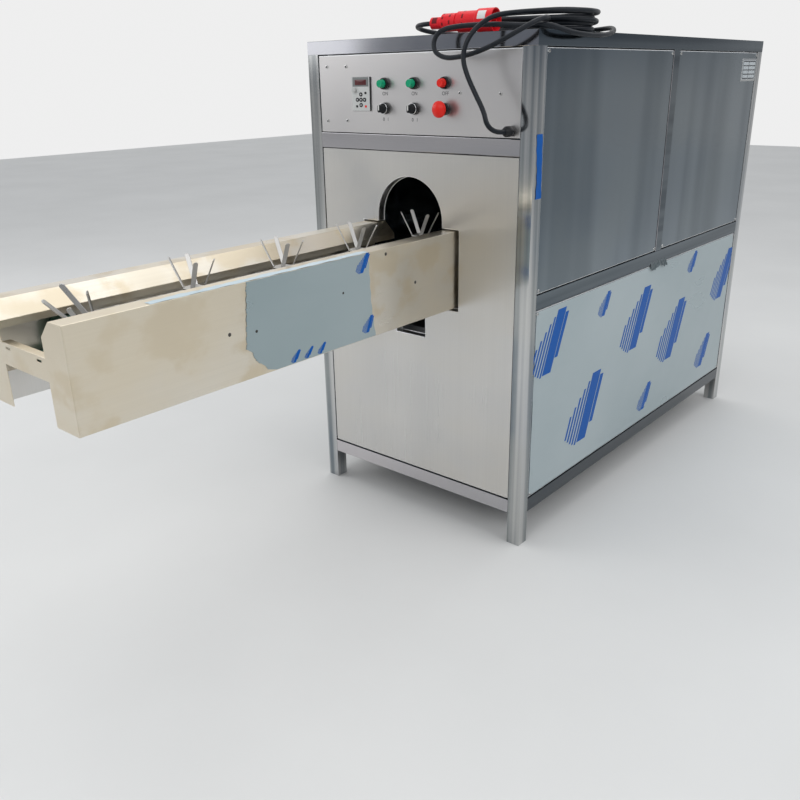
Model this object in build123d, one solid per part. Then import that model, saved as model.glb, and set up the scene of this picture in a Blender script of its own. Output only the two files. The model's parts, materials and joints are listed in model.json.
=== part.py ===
from build123d import *
import math
import os

# Onion peeling machine: a steel cabinet on four legs with a long infeed conveyor.
# Millimetres, +Z up. x runs across the machine from its middle plane, y runs from the
# cabinet's front plane to its rear, and every piece is moved by model_shift when it is
# written, so that the origin is at the middle of the whole footprint on the floor.

# Driving dimensions
cabinet_width = 750
cabinet_length = 1488
cabinet_height = 1337
conveyor_reach = 1100
conveyor_offset = -13.5
overrun = 1
fit_gap = 0.3
running_gap = 0.05

# Frame of square tube
tube = 40
tube_wall = 2
ring_height = 35
bottom_rail_z = 94.5
front_rail_z = 1058
side_rail_z = 676.5
mullion_y = 744.5
switch_beam_y = 130
press_beam_y = 300
cutter_beam_y = 480
outrigger_ys = (130, 470, 810)
chute_rail = 30
chute_rail_z = 530
chute_rail_inset = 7

# Sheet panels
sheet = 1.5
panel_gap = 2.2
panel_recess = 2
panel_return = 15
stop_width = 14
stop_thickness = 3
screw_radius = 5
screw_height = 2
screw_taper = 20
screw_inset = 8
screw_sides = 8
panel_screw_shares = [
    (-0.808, 0.152),
    (-0.613, 0.157),
    (-0.819, 0.848),
    (-0.616, 0.838),
    (0.413, 0.490),
    (0.733, 0.500),
]

# Cut-out in the front panel, from the middle of the conveyor
arch_radius = 112
arch_centre_z = 880
gate_half_width = 168
gate_bottom_z = 647
gate_top_z = 865
slot_half_width = 52.5
slot_bottom_z = 555
collar_depth = 25

# Conveyor covers, a folded sheet on each side
cover_half_width = 160
cover_bottom_z = 657
cover_top_z = 862.5
cover_top_flange = 44
cover_chamfer = 33
cover_lip = 15
cover_bottom_flange = 30
cover_inner_end_y = 35
end_bar_bottom_z = 745
end_bar_top_z = 790
end_bar_flange = 18
end_slot_place = 59
end_slot_length = 18
end_slot_height = 5
end_slot_drop = 7

# Conveyor arms, cross ties and guide
arm_width = 40
arm_height = 60
arm_rear_y = 1012
tie_size = 30
tie_bottom_z = 749
tie_ys = (-755, -427, -110, 220, 560, 830)
guide_width = 12
guide_end_margin = 75

# Chain of straight links on two sprockets
chain_pitch = 50.8
sprocket_teeth = 6
run_links = 37
wrap_links = 3
tail_axle_y = -943
chain_line_z = 816
plate_height = 23
plate_thickness = 2.5
roller_diameter = 15.9
roller_sides = 8
plate_end_share = 0.42
side_play = 0.15
plate_play = 0.3
seat_clearance = 0.25
tooth_tip_rise = 5
sprocket_width = 14
hub_radius = 29
hub_width = 50
tail_shaft_radius = 12.5
shaft_chamfer_share = 0.125
drive_shaft_radius = 15

# Onion holders, one to every fifth link
holder_every = 5
holder_base = 41
holder_base_corner = 7
holder_base_rise = 12
holder_base_thickness = 4
finger_width = 10
finger_thickness = 3
finger_height = 62
finger_foot = 14.5
finger_tip_x = 47
finger_tip_y = 22.5
finger_tip_cut = 3

# Bearing blocks on the arms
bearing_length = 130
bearing_foot = 14
bearing_body_radius = 34
bearing_width = 36

# Drive
gear_case_width = 90
gear_case_gap = 15
gear_case_radius = 56
gear_shelf_thickness = 10
worm_rise = 50
worm_barrel_radius = 32
motor_flange_radius = 70
motor_flange_thickness = 12
motor_radius = 58
motor_length = 190
motor_cowl_length = 45
motor_cowl_step = 4
motor_box_length = 80
motor_box_width = 60
motor_box_height = 30

# Cutting and pressing stations under the cabinet's top
hanger_tube = 40
press_hanger_length = 100
press_cylinder_radius = 28
press_cylinder_length = 130
press_cap_share = 0.2
press_body_share = 0.875
press_rod_radius = 10
press_rod_engaged = 95
press_rod_shown = 40
press_cup_radius = 34
press_cup_height = 40
press_cup_wall = 4
cutter_side_offset = 70
cutter_hanger_length = 110
cutter_plate = 8
cutter_motor_radius = 55
cutter_motor_length = 185
cutter_nose_radius = 30
cutter_nose_length = 18
blade_z = 925
blade_radius = 90
blade_thickness = 2
blade_hub_radius = 20
blade_hub_height = 14
blade_notch_radius = 9
blade_notches = 8
spindle_radius = 10

# Air manifold over the chain
manifold_y = 625
manifold_tube_radius = 10
manifold_wall = 2
manifold_bend = 60
manifold_top_z = 950
manifold_foot = 34
manifold_foot_thickness = 6
nozzle_radius = 5
nozzle_length = 40
nozzle_places = (-60, 0, 60)
valve_boss_height = 6
valve_width = 46
valve_depth = 34
valve_height = 70

# Chutes
chute_sheet = 2
chute_half_width = 150
chute_start_y = 990
chute_start_z = 600
chute_end_z = 400
chute_wall_end_z = 520
chute_wall_bend_y = 1100
chute_door_margin = 8
hopper_front_y = 60
hopper_rear_y = 950
hopper_outlet = 320
hopper_outlet_z = 160

# Control panel devices, columns from the cabinet's middle plane
left_column_x = -90
middle_column_x = 10
right_column_x = 110
upper_row_z = 1226
lower_row_z = 1164.5
device_hole_radius = 11.4
device_sleeve_radius = 11
bezel_radius = 15
bezel_front_radius = 13.5
bezel_depth = 11
bezel_bore_radius = 10.6
bezel_bore_depth = 20
sleeve_depth = 16
device_nut_radius = 14
device_nut_depth = 5
contact_block_width = 30
contact_block_height = 42
contact_block_depth = 38
cap_radius = 10.5
cap_front_radius = 9.5
cap_proud = 14
cap_tail = 3
selector_proud = 5
selector_grip_width = 8
selector_grip_share = 0.9
selector_grip_depth = 12
stop_stem_proud = 13
stop_nose_radius = 6
stop_nose_length = 7
mushroom_radius = 20
mushroom_rim = 5
mushroom_dome = 9

# Speed inverter with its keypad in the panel
keypad_x = -174.5
keypad_z = 1200.5
keypad_width = 65
keypad_height = 86
keypad_frame_depth = 4
keypad_neck_width = 58
keypad_neck_height = 78
keypad_display_width = 43
keypad_display_height = 14
keypad_display_rise = 29.5
keypad_display_depth = 0.8
inverter_width = 76
inverter_height = 150
inverter_depth = 110
knob_x = -195
knob_z = 1210
knob_radius = 6.5
knob_depth = 8
knob_pointer = 1.2

# Switchgear behind the control panel
switch_plate_width = 620
switch_plate_height = 170
switch_plate_thickness = 3
contactor_width = 45
contactor_height = 80
contactor_depth = 70
contactor_pitch = 52
contactor_count = 3
contactor_start_x = 130
terminal_width = 150
terminal_height = 40
terminal_depth = 35
terminal_x = -75

# Cord, gland and plug
cord_diameter = 11.5
gland_side_place = 68
gland_z = 1116
gland_hex_radius = 13
gland_hex_depth = 7
gland_body_radius = 10.5
gland_nut_radius = 12.5
gland_hex_sides = 6
gland_length = 30
coil_centre_x = 232
coil_centre_y = 228
coil_radius_x = 150
coil_radius_y = 115
coil_step = 14.5
coil_layer_quarters = (4, 4, 4, 5)
coil_climb_quarters = 2
coil_lift = 12.6
plug_end_x = 35
plug_end_y = 46
plug_turn = 6
plug_tail_radius = 14
plug_tail_length = 30
plug_band_radius = 21
plug_band_length = 44
plug_body_radius = 24
plug_body_length = 52
plug_groove_depth = 2.5
plug_groove_length = 5
plug_collar_radius = 27.5
plug_collar_length = 49
plug_collar_wall = 3
plug_bore_depth = 40
pin_radius = 2.5
pin_circle = 13
pin_length = 34
pin_count = 4

# The cord's free stretches, points chosen by eye in x, y and z
gland_stretch_points = [
    (297, -86, 1134),
    (288, -83, 1162),
    (257, -80, 1206),
    (235, -80, 1243),
    (223, -80, 1275),
    (225, -77, 1303),
    (234, -66, 1330),
    (248, -44, 1353),
    (267, -17, 1370),
    (298, 20, 1375),
    (334, 62, 1378),
    (366, 112, 1381),
]
plug_stretch_points = [
    (318, 99, 1350),
    (358, 68, 1360),
    (376, 32, 1362),
    (376, -6, 1355),
    (360, -36, 1340),
    (328, -50, 1322),
    (286, -54, 1304),
    (240, -55, 1290),
    (192, -55, 1282),
    (150, -54, 1281),
    (118, -52, 1295),
    (111, -48, 1320),
    (126, -41, 1344),
    (170, -26, 1351),
    (230, -12, 1352),
    (290, -8, 1349),
    (340, 2, 1345),
    (384, 30, 1347),
    (408, 75, 1331),
    (415, 130, 1326),
    (416, 190, 1325),
    (414, 250, 1328),
    (404, 305, 1337),
    (378, 345, 1348),
    (335, 368, 1347),
    (278, 374, 1344),
    (215, 368, 1344),
    (152, 350, 1344),
    (96, 316, 1344),
    (50, 268, 1344),
    (12, 216, 1344),
    (-20, 164, 1346),
    (-40, 114, 1352),
    (-38, 68, 1360),
]
bend_share = 0.45
cord_lead = 34

# What follows from the sizes above
half_width = cabinet_width / 2
ring_z = cabinet_height - ring_height
tube_inner_x = half_width - tube
gland_x = half_width - gland_side_place
model_shift = (conveyor_reach - cabinet_length) / 2
conveyor_x = conveyor_offset
cover_inner = cover_half_width - sheet
arm_outer = cover_inner
arm_inner = arm_outer - arm_width
arm_bottom_z = cover_bottom_z + sheet
arm_top_z = arm_bottom_z + arm_height
arm_middle = (arm_outer + arm_inner) / 2
arm_front_y = sheet - conveyor_reach
pitch_radius = chain_pitch / (2 * math.sin(math.pi / sprocket_teeth))
axle_z = chain_line_z - pitch_radius
return_line_z = axle_z - pitch_radius
drive_axle_y = tail_axle_y + run_links * chain_pitch
roller_radius = roller_diameter / 2
inner_plate_near = roller_radius + side_play
inner_plate_far = inner_plate_near + plate_thickness
outer_plate_near = inner_plate_far + plate_play
loop_links = 2 * (run_links + wrap_links)
holder_top = holder_base_rise + holder_base_thickness
panel_face_y = panel_recess
panel_back_y = panel_recess + sheet
worm_z = axle_z + worm_rise
gear_case_x = conveyor_x + arm_outer + gear_case_gap
gear_case_far_x = gear_case_x + gear_case_width
gear_case_middle_x = (gear_case_x + gear_case_far_x) / 2
top_z = cabinet_height
CENTRE = (Align.CENTER, Align.CENTER, Align.CENTER)
STANDING = (Align.CENTER, Align.CENTER, Align.MIN)


def block(x_from, x_to, y_from, y_to, z_from, z_to):
    """A straight block between two corners."""
    shape = Box(x_to - x_from, y_to - y_from, z_to - z_from, align=(Align.MIN, Align.MIN, Align.MIN))
    return shape.moved(Location((x_from, y_from, z_from)))


def tube_along_x(x_from, x_to, y_from, y_to, z_from, z_to, wall=tube_wall):
    """A rectangular tube, open at both ends, lying along x."""
    bore = block(x_from - overrun, x_to + overrun, y_from + wall, y_to - wall, z_from + wall, z_to - wall)
    return block(x_from, x_to, y_from, y_to, z_from, z_to) - bore


def tube_along_y(x_from, x_to, y_from, y_to, z_from, z_to, wall=tube_wall):
    """A rectangular tube, open at both ends, lying along y."""
    bore = block(x_from + wall, x_to - wall, y_from - overrun, y_to + overrun, z_from + wall, z_to - wall)
    return block(x_from, x_to, y_from, y_to, z_from, z_to) - bore


def tube_along_z(x_from, x_to, y_from, y_to, z_from, z_to, wall=tube_wall):
    """A rectangular tube, open at both ends, standing up."""
    bore = block(x_from + wall, x_to - wall, y_from + wall, y_to - wall, z_from - overrun, z_to + overrun)
    return block(x_from, x_to, y_from, y_to, z_from, z_to) - bore


def rod(radius, start, direction, length):
    """A round bar of one radius from a point along a direction."""
    place = Plane(origin=start, z_dir=direction)
    return place * Cylinder(radius, length, align=STANDING)


def turned(outline, place):
    """A body of revolution about its own z axis, from (radius, height) points, put in a place."""
    section = Plane.XZ * make_face(Polyline(*outline, close=True))
    return place * revolve(section, Axis.Z)


def extruded_x(outline, x_from, x_to):
    """A prism along x from (y, z) points."""
    section = Plane.YZ * make_face(Polyline(*outline, close=True))
    return extrude(section, amount=x_to - x_from).moved(Location((x_from, 0, 0)))


def extruded_y(outline, y_from, y_to):
    """A prism along y from (x, z) points."""
    section = Plane.XZ * make_face(Polyline(*outline, close=True))
    return extrude(section, amount=y_from - y_to).moved(Location((0, y_from, 0)))


def mirrored(piece, about_x):
    """The same piece on the other side of the plane x = about_x."""
    return mirror(piece, Plane(origin=(about_x, 0, 0), z_dir=(1, 0, 0)))


def save(node, *pieces):
    """Write the solids of one sub-part in the machine's own frame."""
    solids = [solid for piece in pieces for solid in piece.solids()]
    whole = Compound(children=[solid.moved(Location((0, model_shift, 0))) for solid in solids])
    export_step(whole, f"parts/{node}.step")


def mitred_rail(length, width, height):
    """A tube lying along x from the origin with both ends mitred towards +y."""
    outline = [(0, 0), (length, 0), (length - width, width), (width, width)]
    outer = extrude(make_face(Polyline(*outline, close=True)), amount=height)
    bore = block(-overrun, length + overrun, tube_wall, width - tube_wall, tube_wall, height - tube_wall)
    return outer - bore


def corner_posts():
    """Four legs of square tube from the floor to the top ring."""
    posts = []
    for x_from in (-half_width, tube_inner_x):
        for y_from in (0, cabinet_length - tube):
            posts.append(tube_along_z(x_from, x_from + tube, y_from, y_from + tube, 0, ring_z))
    return posts


def top_rails():
    """The mitred ring on the posts and the beams that carry what hangs from it."""
    front = mitred_rail(cabinet_width, tube, ring_height)
    side = mitred_rail(cabinet_length, tube, ring_height)
    rails = [
        front.moved(Location((-half_width, 0, ring_z))),
        front.moved(Location((half_width, cabinet_length, ring_z), (0, 0, 180))),
        side.moved(Location((half_width, 0, ring_z), (0, 0, 90))),
        side.moved(Location((-half_width, cabinet_length, ring_z), (0, 0, -90))),
    ]
    for y_from in (switch_beam_y, press_beam_y, cutter_beam_y):
        y_to = y_from + tube
        rails.append(tube_along_x(-tube_inner_x, tube_inner_x, y_from, y_to, ring_z, top_z - sheet))
    return rails


def middle_rails():
    """The rails between the posts at mid height, the mullions and the ledges for the hopper."""
    rear_y = cabinet_length - tube
    rails = [
        tube_along_x(-tube_inner_x, tube_inner_x, 0, tube, front_rail_z, front_rail_z + tube),
        tube_along_x(-tube_inner_x, tube_inner_x, rear_y, cabinet_length, side_rail_z, side_rail_z + tube),
    ]
    for x_from in (-half_width, tube_inner_x):
        rails.append(tube_along_y(x_from, x_from + tube, tube, rear_y, side_rail_z, side_rail_z + tube))
        rails.append(
            tube_along_z(x_from, x_from + tube, mullion_y, mullion_y + tube, side_rail_z + tube, ring_z)
        )
    ledge_far = half_width - chute_rail_inset
    for x_from in (-ledge_far, ledge_far - chute_rail):
        ledge_top = chute_rail_z + chute_rail
        rails.append(tube_along_y(x_from, x_from + chute_rail, tube, rear_y, chute_rail_z, ledge_top))
    return rails


def bottom_rails():
    """Four rails low down between the legs."""
    rear_y = cabinet_length - tube
    rail_top = bottom_rail_z + tube
    rails = []
    for y in (0, rear_y):
        rails.append(tube_along_x(-tube_inner_x, tube_inner_x, y, y + tube, bottom_rail_z, rail_top))
    for x_from in (-half_width, tube_inner_x):
        rails.append(tube_along_y(x_from, x_from + tube, tube, rear_y, bottom_rail_z, rail_top))
    return rails


def outrigger_beams():
    """Short beams from the side rails that carry the two conveyor arms."""
    beams = []
    for y_from in outrigger_ys:
        for x_from, x_to in (
            (-tube_inner_x, conveyor_x - arm_outer),
            (conveyor_x + arm_outer, tube_inner_x),
        ):
            beams.append(tube_along_x(x_from, x_to, y_from, y_from + tube, side_rail_z, side_rail_z + tube))
    return beams


def pan(width, height):
    """A panel seen from outside: front face in the plane y = 0, returns at its top and bottom."""
    face = block(0, width, 0, sheet, 0, height)
    lower = block(0, width, 0, panel_return, 0, sheet)
    upper = block(0, width, 0, panel_return, height - sheet, height)
    return face + lower + upper


def pan_stops(width, height):
    """The two flat bars on the frame that a panel is screwed to, in the panel's own frame."""
    reach = stop_width - panel_gap
    z_from = sheet + panel_gap
    z_to = height - sheet - panel_gap
    y_to = sheet + stop_thickness
    return [
        block(-panel_gap, reach, sheet, y_to, z_from, z_to),
        block(width - reach, width + panel_gap, sheet, y_to, z_from, z_to),
    ]


def screw(place_x, place_z):
    """A low eight-sided screw head on a panel's face."""
    head = extrude(RegularPolygon(screw_radius, screw_sides), amount=screw_height, taper=screw_taper)
    return head.moved(Location((place_x, 0, place_z), (90, 0, 0)))


def side_place(side, start, end, z):
    """Where a panel of a side lies: front, right, left or rear."""
    inner = half_width - panel_recess
    if side == "front":
        return Location((start, panel_recess, z))
    if side == "rear":
        return Location((end, cabinet_length - panel_recess, z), (0, 0, 180))
    if side == "right":
        return Location((inner, start, z), (0, 0, 90))
    return Location((-inner, end, z), (0, 0, -90))


def opening_pan(side, start, end, z_from, z_to):
    """A panel in an opening of the frame, its stops and its place."""
    width = end - start - 2 * panel_gap
    height = z_to - z_from - 2 * panel_gap
    place = side_place(side, start + panel_gap, end - panel_gap, z_from + panel_gap)
    stops = [stop.moved(place) for stop in pan_stops(width, height)]
    return pan(width, height).moved(place), stops, place, width, height


def corner_screws(place, width, height):
    """A screw in each corner of a panel."""
    heads = []
    for x in (screw_inset, width - screw_inset):
        for z in (screw_inset, height - screw_inset):
            heads.append(screw(x, z).moved(place))
    return heads


def cutout_outline(grow=0):
    """The front panel's cut-out in x and z: arch, gate for the covers and slot for the holders."""
    arch = arch_radius + grow
    gate = gate_half_width + grow
    slot = slot_half_width + grow
    gate_top = gate_top_z + grow
    gate_bottom = gate_bottom_z - grow
    slot_bottom = slot_bottom_z - grow
    right = Polyline(
        (-slot, slot_bottom),
        (slot, slot_bottom),
        (slot, gate_bottom),
        (gate, gate_bottom),
        (gate, gate_top),
        (arch, gate_top),
        (arch, arch_centre_z),
    )
    crown = ThreePointArc((arch, arch_centre_z), (0, arch_centre_z + arch), (-arch, arch_centre_z))
    left = Polyline(
        (-arch, arch_centre_z),
        (-arch, gate_top),
        (-gate, gate_top),
        (-gate, gate_bottom),
        (-slot, gate_bottom),
        (-slot, slot_bottom),
    )
    return make_face(right + crown + left)


def prism_y(face, y_from, y_to):
    """A prism along y from a face drawn in x and z about the conveyor's middle."""
    placed = Plane.XZ * face
    return extrude(placed, amount=y_from - y_to).moved(Location((conveyor_x, y_from, 0)))


def front_panel_pan(panel):
    """The lower front panel with the flanged cut-out that the conveyor runs through."""
    hole = prism_y(cutout_outline(), -overrun, panel_recess + collar_depth + overrun)
    collar = prism_y(cutout_outline(sheet), panel_recess, panel_recess + collar_depth)
    return panel + collar - hole


def device_hole(x, z, radius=device_hole_radius):
    """A round hole through the control panel."""
    return rod(radius, (x, -overrun, z), (0, 1, 0), panel_return + overrun)


def device_places():
    """The six switch places, row by row."""
    columns = (left_column_x, middle_column_x, right_column_x)
    return [(x, z) for z in (upper_row_z, lower_row_z) for x in columns]


def control_panel_pan(panel):
    """The control panel with holes for the switches, the keypad and the gland."""
    for x, z in device_places():
        panel = panel - device_hole(x, z)
    panel = panel - device_hole(gland_x, gland_z, gland_body_radius + fit_gap)
    half_w = keypad_neck_width / 2 + fit_gap
    half_h = keypad_neck_height / 2 + fit_gap
    window = block(
        keypad_x - half_w, keypad_x + half_w, -overrun, panel_return, keypad_z - half_h, keypad_z + half_h
    )
    return panel - window


def control_panel_screws():
    """The six screws on the control panel, four at its left and two at its right."""
    control_height = ring_z - front_rail_z - tube
    plane = Location((0, panel_recess, 0))
    places = [(x * half_width, ring_z - drop * control_height) for x, drop in panel_screw_shares]
    return [screw(x, z).moved(plane) for x, z in places]


def discharge_door(panel):
    """The opening in the lower rear panel that the discharge chute ends in."""
    half = chute_half_width + chute_sheet + chute_door_margin
    low = chute_end_z - chute_sheet - chute_door_margin
    high = chute_wall_end_z + chute_door_margin
    depth = panel_recess + panel_return + overrun
    return panel - block(
        conveyor_x - half, conveyor_x + half, cabinet_length - depth, cabinet_length + overrun, low, high
    )


def cabinet_panels():
    """Every panel of the cabinet with its stops and screws, by node name."""
    rear_y = cabinet_length - tube
    lower_z = bottom_rail_z + tube
    rail_top = side_rail_z + tube
    openings = {
        "control_panel": ("front", -tube_inner_x, tube_inner_x, front_rail_z + tube, ring_z),
        "front_panel": ("front", -tube_inner_x, tube_inner_x, lower_z, front_rail_z),
        "right_front_panel": ("right", tube, mullion_y, rail_top, ring_z),
        "right_rear_panel": ("right", mullion_y + tube, rear_y, rail_top, ring_z),
        "right_lower_panel": ("right", tube, rear_y, lower_z, side_rail_z),
        "left_front_panel": ("left", tube, mullion_y, rail_top, ring_z),
        "left_rear_panel": ("left", mullion_y + tube, rear_y, rail_top, ring_z),
        "left_lower_panel": ("left", tube, rear_y, lower_z, side_rail_z),
        "rear_upper_panel": ("rear", -tube_inner_x, tube_inner_x, rail_top, ring_z),
        "rear_lower_panel": ("rear", -tube_inner_x, tube_inner_x, lower_z, side_rail_z),
    }
    special = {
        "control_panel": control_panel_pan,
        "front_panel": front_panel_pan,
        "rear_lower_panel": discharge_door,
    }
    panels = {}
    stops = []
    heads = control_panel_screws()
    for node, opening in openings.items():
        panel, bars, place, width, height = opening_pan(*opening)
        panels[node] = special[node](panel) if node in special else panel
        stops += bars
        if opening[0] != "front":
            heads += corner_screws(place, width, height)
    return panels, stops, heads


def top_cover():
    """The sheet that closes the top inside the ring."""
    inner_y = cabinet_length - tube
    return block(-tube_inner_x, tube_inner_x, tube, inner_y, top_z - sheet, top_z)


def strip_outline(points, thickness):
    """The outline of a folded sheet: the points and the same bends set in to their left."""
    inner = []
    last = len(points) - 1
    for index, (x, z) in enumerate(points):
        before = points[max(index - 1, 0)]
        after = points[min(index + 1, last)]
        first = before if index > 0 else (2 * x - after[0], 2 * z - after[1])
        second = after if index < last else (2 * x - before[0], 2 * z - before[1])
        incoming = Vector(x - first[0], z - first[1]).normalized()
        outgoing = Vector(second[0] - x, second[1] - z).normalized()
        normal = Vector(-incoming.Y - outgoing.Y, incoming.X + outgoing.X).normalized()
        reach = thickness / (normal.X * -incoming.Y + normal.Y * incoming.X)
        inner.append((x + normal.X * reach, z + normal.Y * reach))
    return points + inner[::-1]


def side_cover_points():
    """The folds of a right-hand cover in x and z, from its lower flange to its inner lip."""
    lip_x = cover_half_width - cover_top_flange - cover_chamfer
    chamfer_z = cover_top_z - cover_chamfer
    return [
        (cover_half_width - cover_bottom_flange, cover_bottom_z),
        (cover_half_width, cover_bottom_z),
        (cover_half_width, cover_top_z),
        (cover_half_width - cover_top_flange, cover_top_z),
        (lip_x, chamfer_z),
        (lip_x, chamfer_z - cover_lip),
    ]


def side_cover():
    """The folded cover on the conveyor's right side."""
    outline = [(conveyor_x + x, z) for x, z in strip_outline(side_cover_points(), sheet)]
    return extruded_y(outline, arm_front_y, cover_inner_end_y)


def conveyor_end_plate():
    """The plate across the conveyor's free end, with its flanged middle bar."""
    lip_x = cover_half_width - cover_top_flange - cover_chamfer
    chamfer_z = cover_top_z - cover_chamfer
    right = [
        (lip_x, end_bar_bottom_z),
        (lip_x, cover_bottom_z),
        (cover_half_width, cover_bottom_z),
        (cover_half_width, cover_top_z),
        (cover_half_width - cover_top_flange, cover_top_z),
        (lip_x, chamfer_z),
        (lip_x, end_bar_top_z),
    ]
    left = [(-x, z) for x, z in right[::-1]]
    outline = [(conveyor_x + x, z) for x, z in right + left]
    plate = extruded_y(outline, -conveyor_reach, arm_front_y)
    flange = block(
        conveyor_x - lip_x,
        conveyor_x + lip_x,
        -conveyor_reach,
        end_bar_flange - conveyor_reach,
        end_bar_top_z - sheet,
        end_bar_top_z,
    )
    slot_top = end_bar_top_z - end_slot_drop
    for side in (-1, 1):
        middle = conveyor_x + side * end_slot_place
        half = end_slot_length / 2
        slot = block(
            middle - half,
            middle + half,
            -conveyor_reach - overrun,
            arm_front_y + overrun,
            slot_top - end_slot_height,
            slot_top,
        )
        plate = plate - slot
    return plate + flange


def conveyor_arms():
    """The two long tubes of the conveyor and the shelf for the gear unit."""
    arms = []
    for x_from in (conveyor_x - arm_outer, conveyor_x + arm_inner):
        arms.append(
            tube_along_y(x_from, x_from + arm_width, arm_front_y, arm_rear_y, arm_bottom_z, arm_top_z)
        )
    shelf_x = conveyor_x + arm_outer
    shelf = block(
        shelf_x,
        gear_case_far_x,
        drive_axle_y - gear_case_radius,
        drive_axle_y + gear_case_radius,
        arm_top_z - gear_shelf_thickness,
        arm_top_z,
    )
    return arms + [shelf]


def arm_ties():
    """Cross ties between the two chain runs, each on a foot on either arm."""
    ties = []
    for y in tie_ys:
        y_from = y - tie_size / 2
        y_to = y + tie_size / 2
        z_to = tie_bottom_z + tie_size
        bar = block(conveyor_x - arm_outer, conveyor_x + arm_outer, y_from, y_to, tie_bottom_z, z_to)
        bore = block(
            conveyor_x - arm_outer - overrun,
            conveyor_x + arm_outer + overrun,
            y_from + tube_wall,
            y_to - tube_wall,
            tie_bottom_z + tube_wall,
            tie_bottom_z + tie_size - tube_wall,
        )
        ties.append(bar - bore)
        for middle in (conveyor_x - arm_middle, conveyor_x + arm_middle):
            half = tie_size / 2
            ties.append(block(middle - half, middle + half, y_from, y_to, arm_top_z, tie_bottom_z))
    return ties


def chain_guide():
    """The wear strip that the rollers of the upper run roll on."""
    half = guide_width / 2
    return block(
        conveyor_x - half,
        conveyor_x + half,
        tail_axle_y + guide_end_margin,
        drive_axle_y - guide_end_margin,
        tie_bottom_z + tie_size,
        chain_line_z - roller_radius - fit_gap,
    )


def bearing_block(axle_y, shaft_radius, side):
    """A pillow block on one arm: flat foot, drawn-in body and a bore for the shaft."""
    half = bearing_length / 2
    foot_top = arm_top_z + bearing_foot
    foot = Plane.YZ * make_face(
        Polyline(
            (axle_y - half, arm_top_z),
            (axle_y + half, arm_top_z),
            (axle_y + half, foot_top),
            (axle_y + bearing_body_radius, foot_top),
            (axle_y + bearing_body_radius, axle_z),
            (axle_y - bearing_body_radius, axle_z),
            (axle_y - bearing_body_radius, foot_top),
            (axle_y - half, foot_top),
            close=True,
        )
    )
    x_from = conveyor_x + side * arm_middle - bearing_width / 2
    base = extrude(foot, amount=bearing_width).moved(Location((x_from, 0, 0)))
    ring = rod(bearing_body_radius, (x_from, axle_y, axle_z), (1, 0, 0), bearing_width)
    bore_start = (x_from - overrun, axle_y, axle_z)
    bore = rod(shaft_radius + running_gap, bore_start, (1, 0, 0), bearing_width + 2 * overrun)
    return base + ring - bore


def bearing_housings():
    """Two bearings on the tail shaft and two on the drive shaft."""
    housings = []
    for side in (-1, 1):
        housings.append(bearing_block(tail_axle_y, tail_shaft_radius, side))
        housings.append(bearing_block(drive_axle_y, drive_shaft_radius, side))
    return housings


def shaft(axle_y, radius, x_from, x_to):
    """A plain shaft across the conveyor with chamfered ends."""
    whole = rod(radius, (x_from, axle_y, axle_z), (1, 0, 0), x_to - x_from)
    return chamfer(whole.edges().filter_by(GeomType.CIRCLE), radius * shaft_chamfer_share)


def sprocket(axle_y, shaft_radius):
    """A six-tooth sprocket with flared seats for the rollers, on a hub."""
    seat = roller_radius + seat_clearance
    flank = seat / math.sqrt(2)
    reach = pitch_radius / 2
    disc = Circle(pitch_radius + tooth_tip_rise)
    for index in range(sprocket_teeth):
        turn = Rot(0, 0, index * 360 / sprocket_teeth)
        opening = make_face(
            Polyline(
                (pitch_radius - flank, flank),
                (pitch_radius + reach, flank + flank + reach),
                (pitch_radius + reach, -flank - flank - reach),
                (pitch_radius - flank, -flank),
                close=True,
            )
        )
        disc = disc - turn * (Pos(pitch_radius, 0) * Circle(seat)) - turn * opening
    wheel = extrude(disc, amount=sprocket_width / 2, both=True)
    hub = Cylinder(hub_radius, hub_width, align=CENTRE)
    bore = Cylinder(shaft_radius + running_gap, hub_width + 2 * overrun, align=CENTRE)
    whole = wheel + hub - bore
    return whole.moved(Location((conveyor_x, axle_y, axle_z), (0, 90, 0)))


def link_plates(outer):
    """The two plates of a link, middle at the origin, along y with the holders' side up."""
    half = plate_height / 2
    joint = chain_pitch / 2
    end = joint + half
    shoulder = joint + half * plate_end_share
    nose = half * plate_end_share
    outline = [
        (-shoulder, -half),
        (shoulder, -half),
        (end, -nose),
        (end, nose),
        (shoulder, half),
        (-shoulder, half),
        (-end, nose),
        (-end, -nose),
    ]
    near = outer_plate_near if outer else inner_plate_near
    far = near + plate_thickness
    return [extruded_x(outline, near, far), extruded_x(outline, -far, -near)]


def link_roller():
    """The roller at a link's joint, eight-sided to keep the long chain light."""
    prism = extrude(RegularPolygon(roller_radius, roller_sides), amount=roller_radius, both=True)
    return prism.moved(Location((0, 0, 0), (0, 90, 0)))


def holder_finger(side_x, side_y):
    """A flat finger that leans outwards, its face turned to the holder's middle."""
    foot = Vector(side_x * finger_foot, side_y * finger_foot, holder_top)
    tip = Vector(side_x * finger_tip_x, side_y * finger_tip_y, holder_top + finger_height)
    across = Vector(-side_y, side_x, 0).normalized() * (finger_width / 2)
    outwards = Vector(side_x, side_y, 0).normalized()
    rise = (tip - foot).normalized() * finger_tip_cut
    corner = across * ((finger_width / 2 - finger_tip_cut) / (finger_width / 2))
    outline = Polyline(
        foot - across,
        foot + across,
        tip + across - rise,
        tip + corner,
        tip - corner,
        tip - across - rise,
        close=True,
    )
    return extrude(make_face(outline), amount=finger_thickness, dir=outwards)


def holder_pieces():
    """An onion holder above a link at the origin: base plate and four fingers."""
    half = holder_base / 2
    inset = half - holder_base_corner
    outline = [
        (-inset, -half),
        (inset, -half),
        (half, -inset),
        (half, inset),
        (inset, half),
        (-inset, half),
        (-half, inset),
        (-half, -inset),
    ]
    base = extrude(make_face(Polyline(*outline, close=True)), amount=holder_base_thickness)
    base = base.moved(Location((0, 0, holder_base_rise)))
    return [base] + [holder_finger(x, y) for x in (-1, 1) for y in (-1, 1)]


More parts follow.
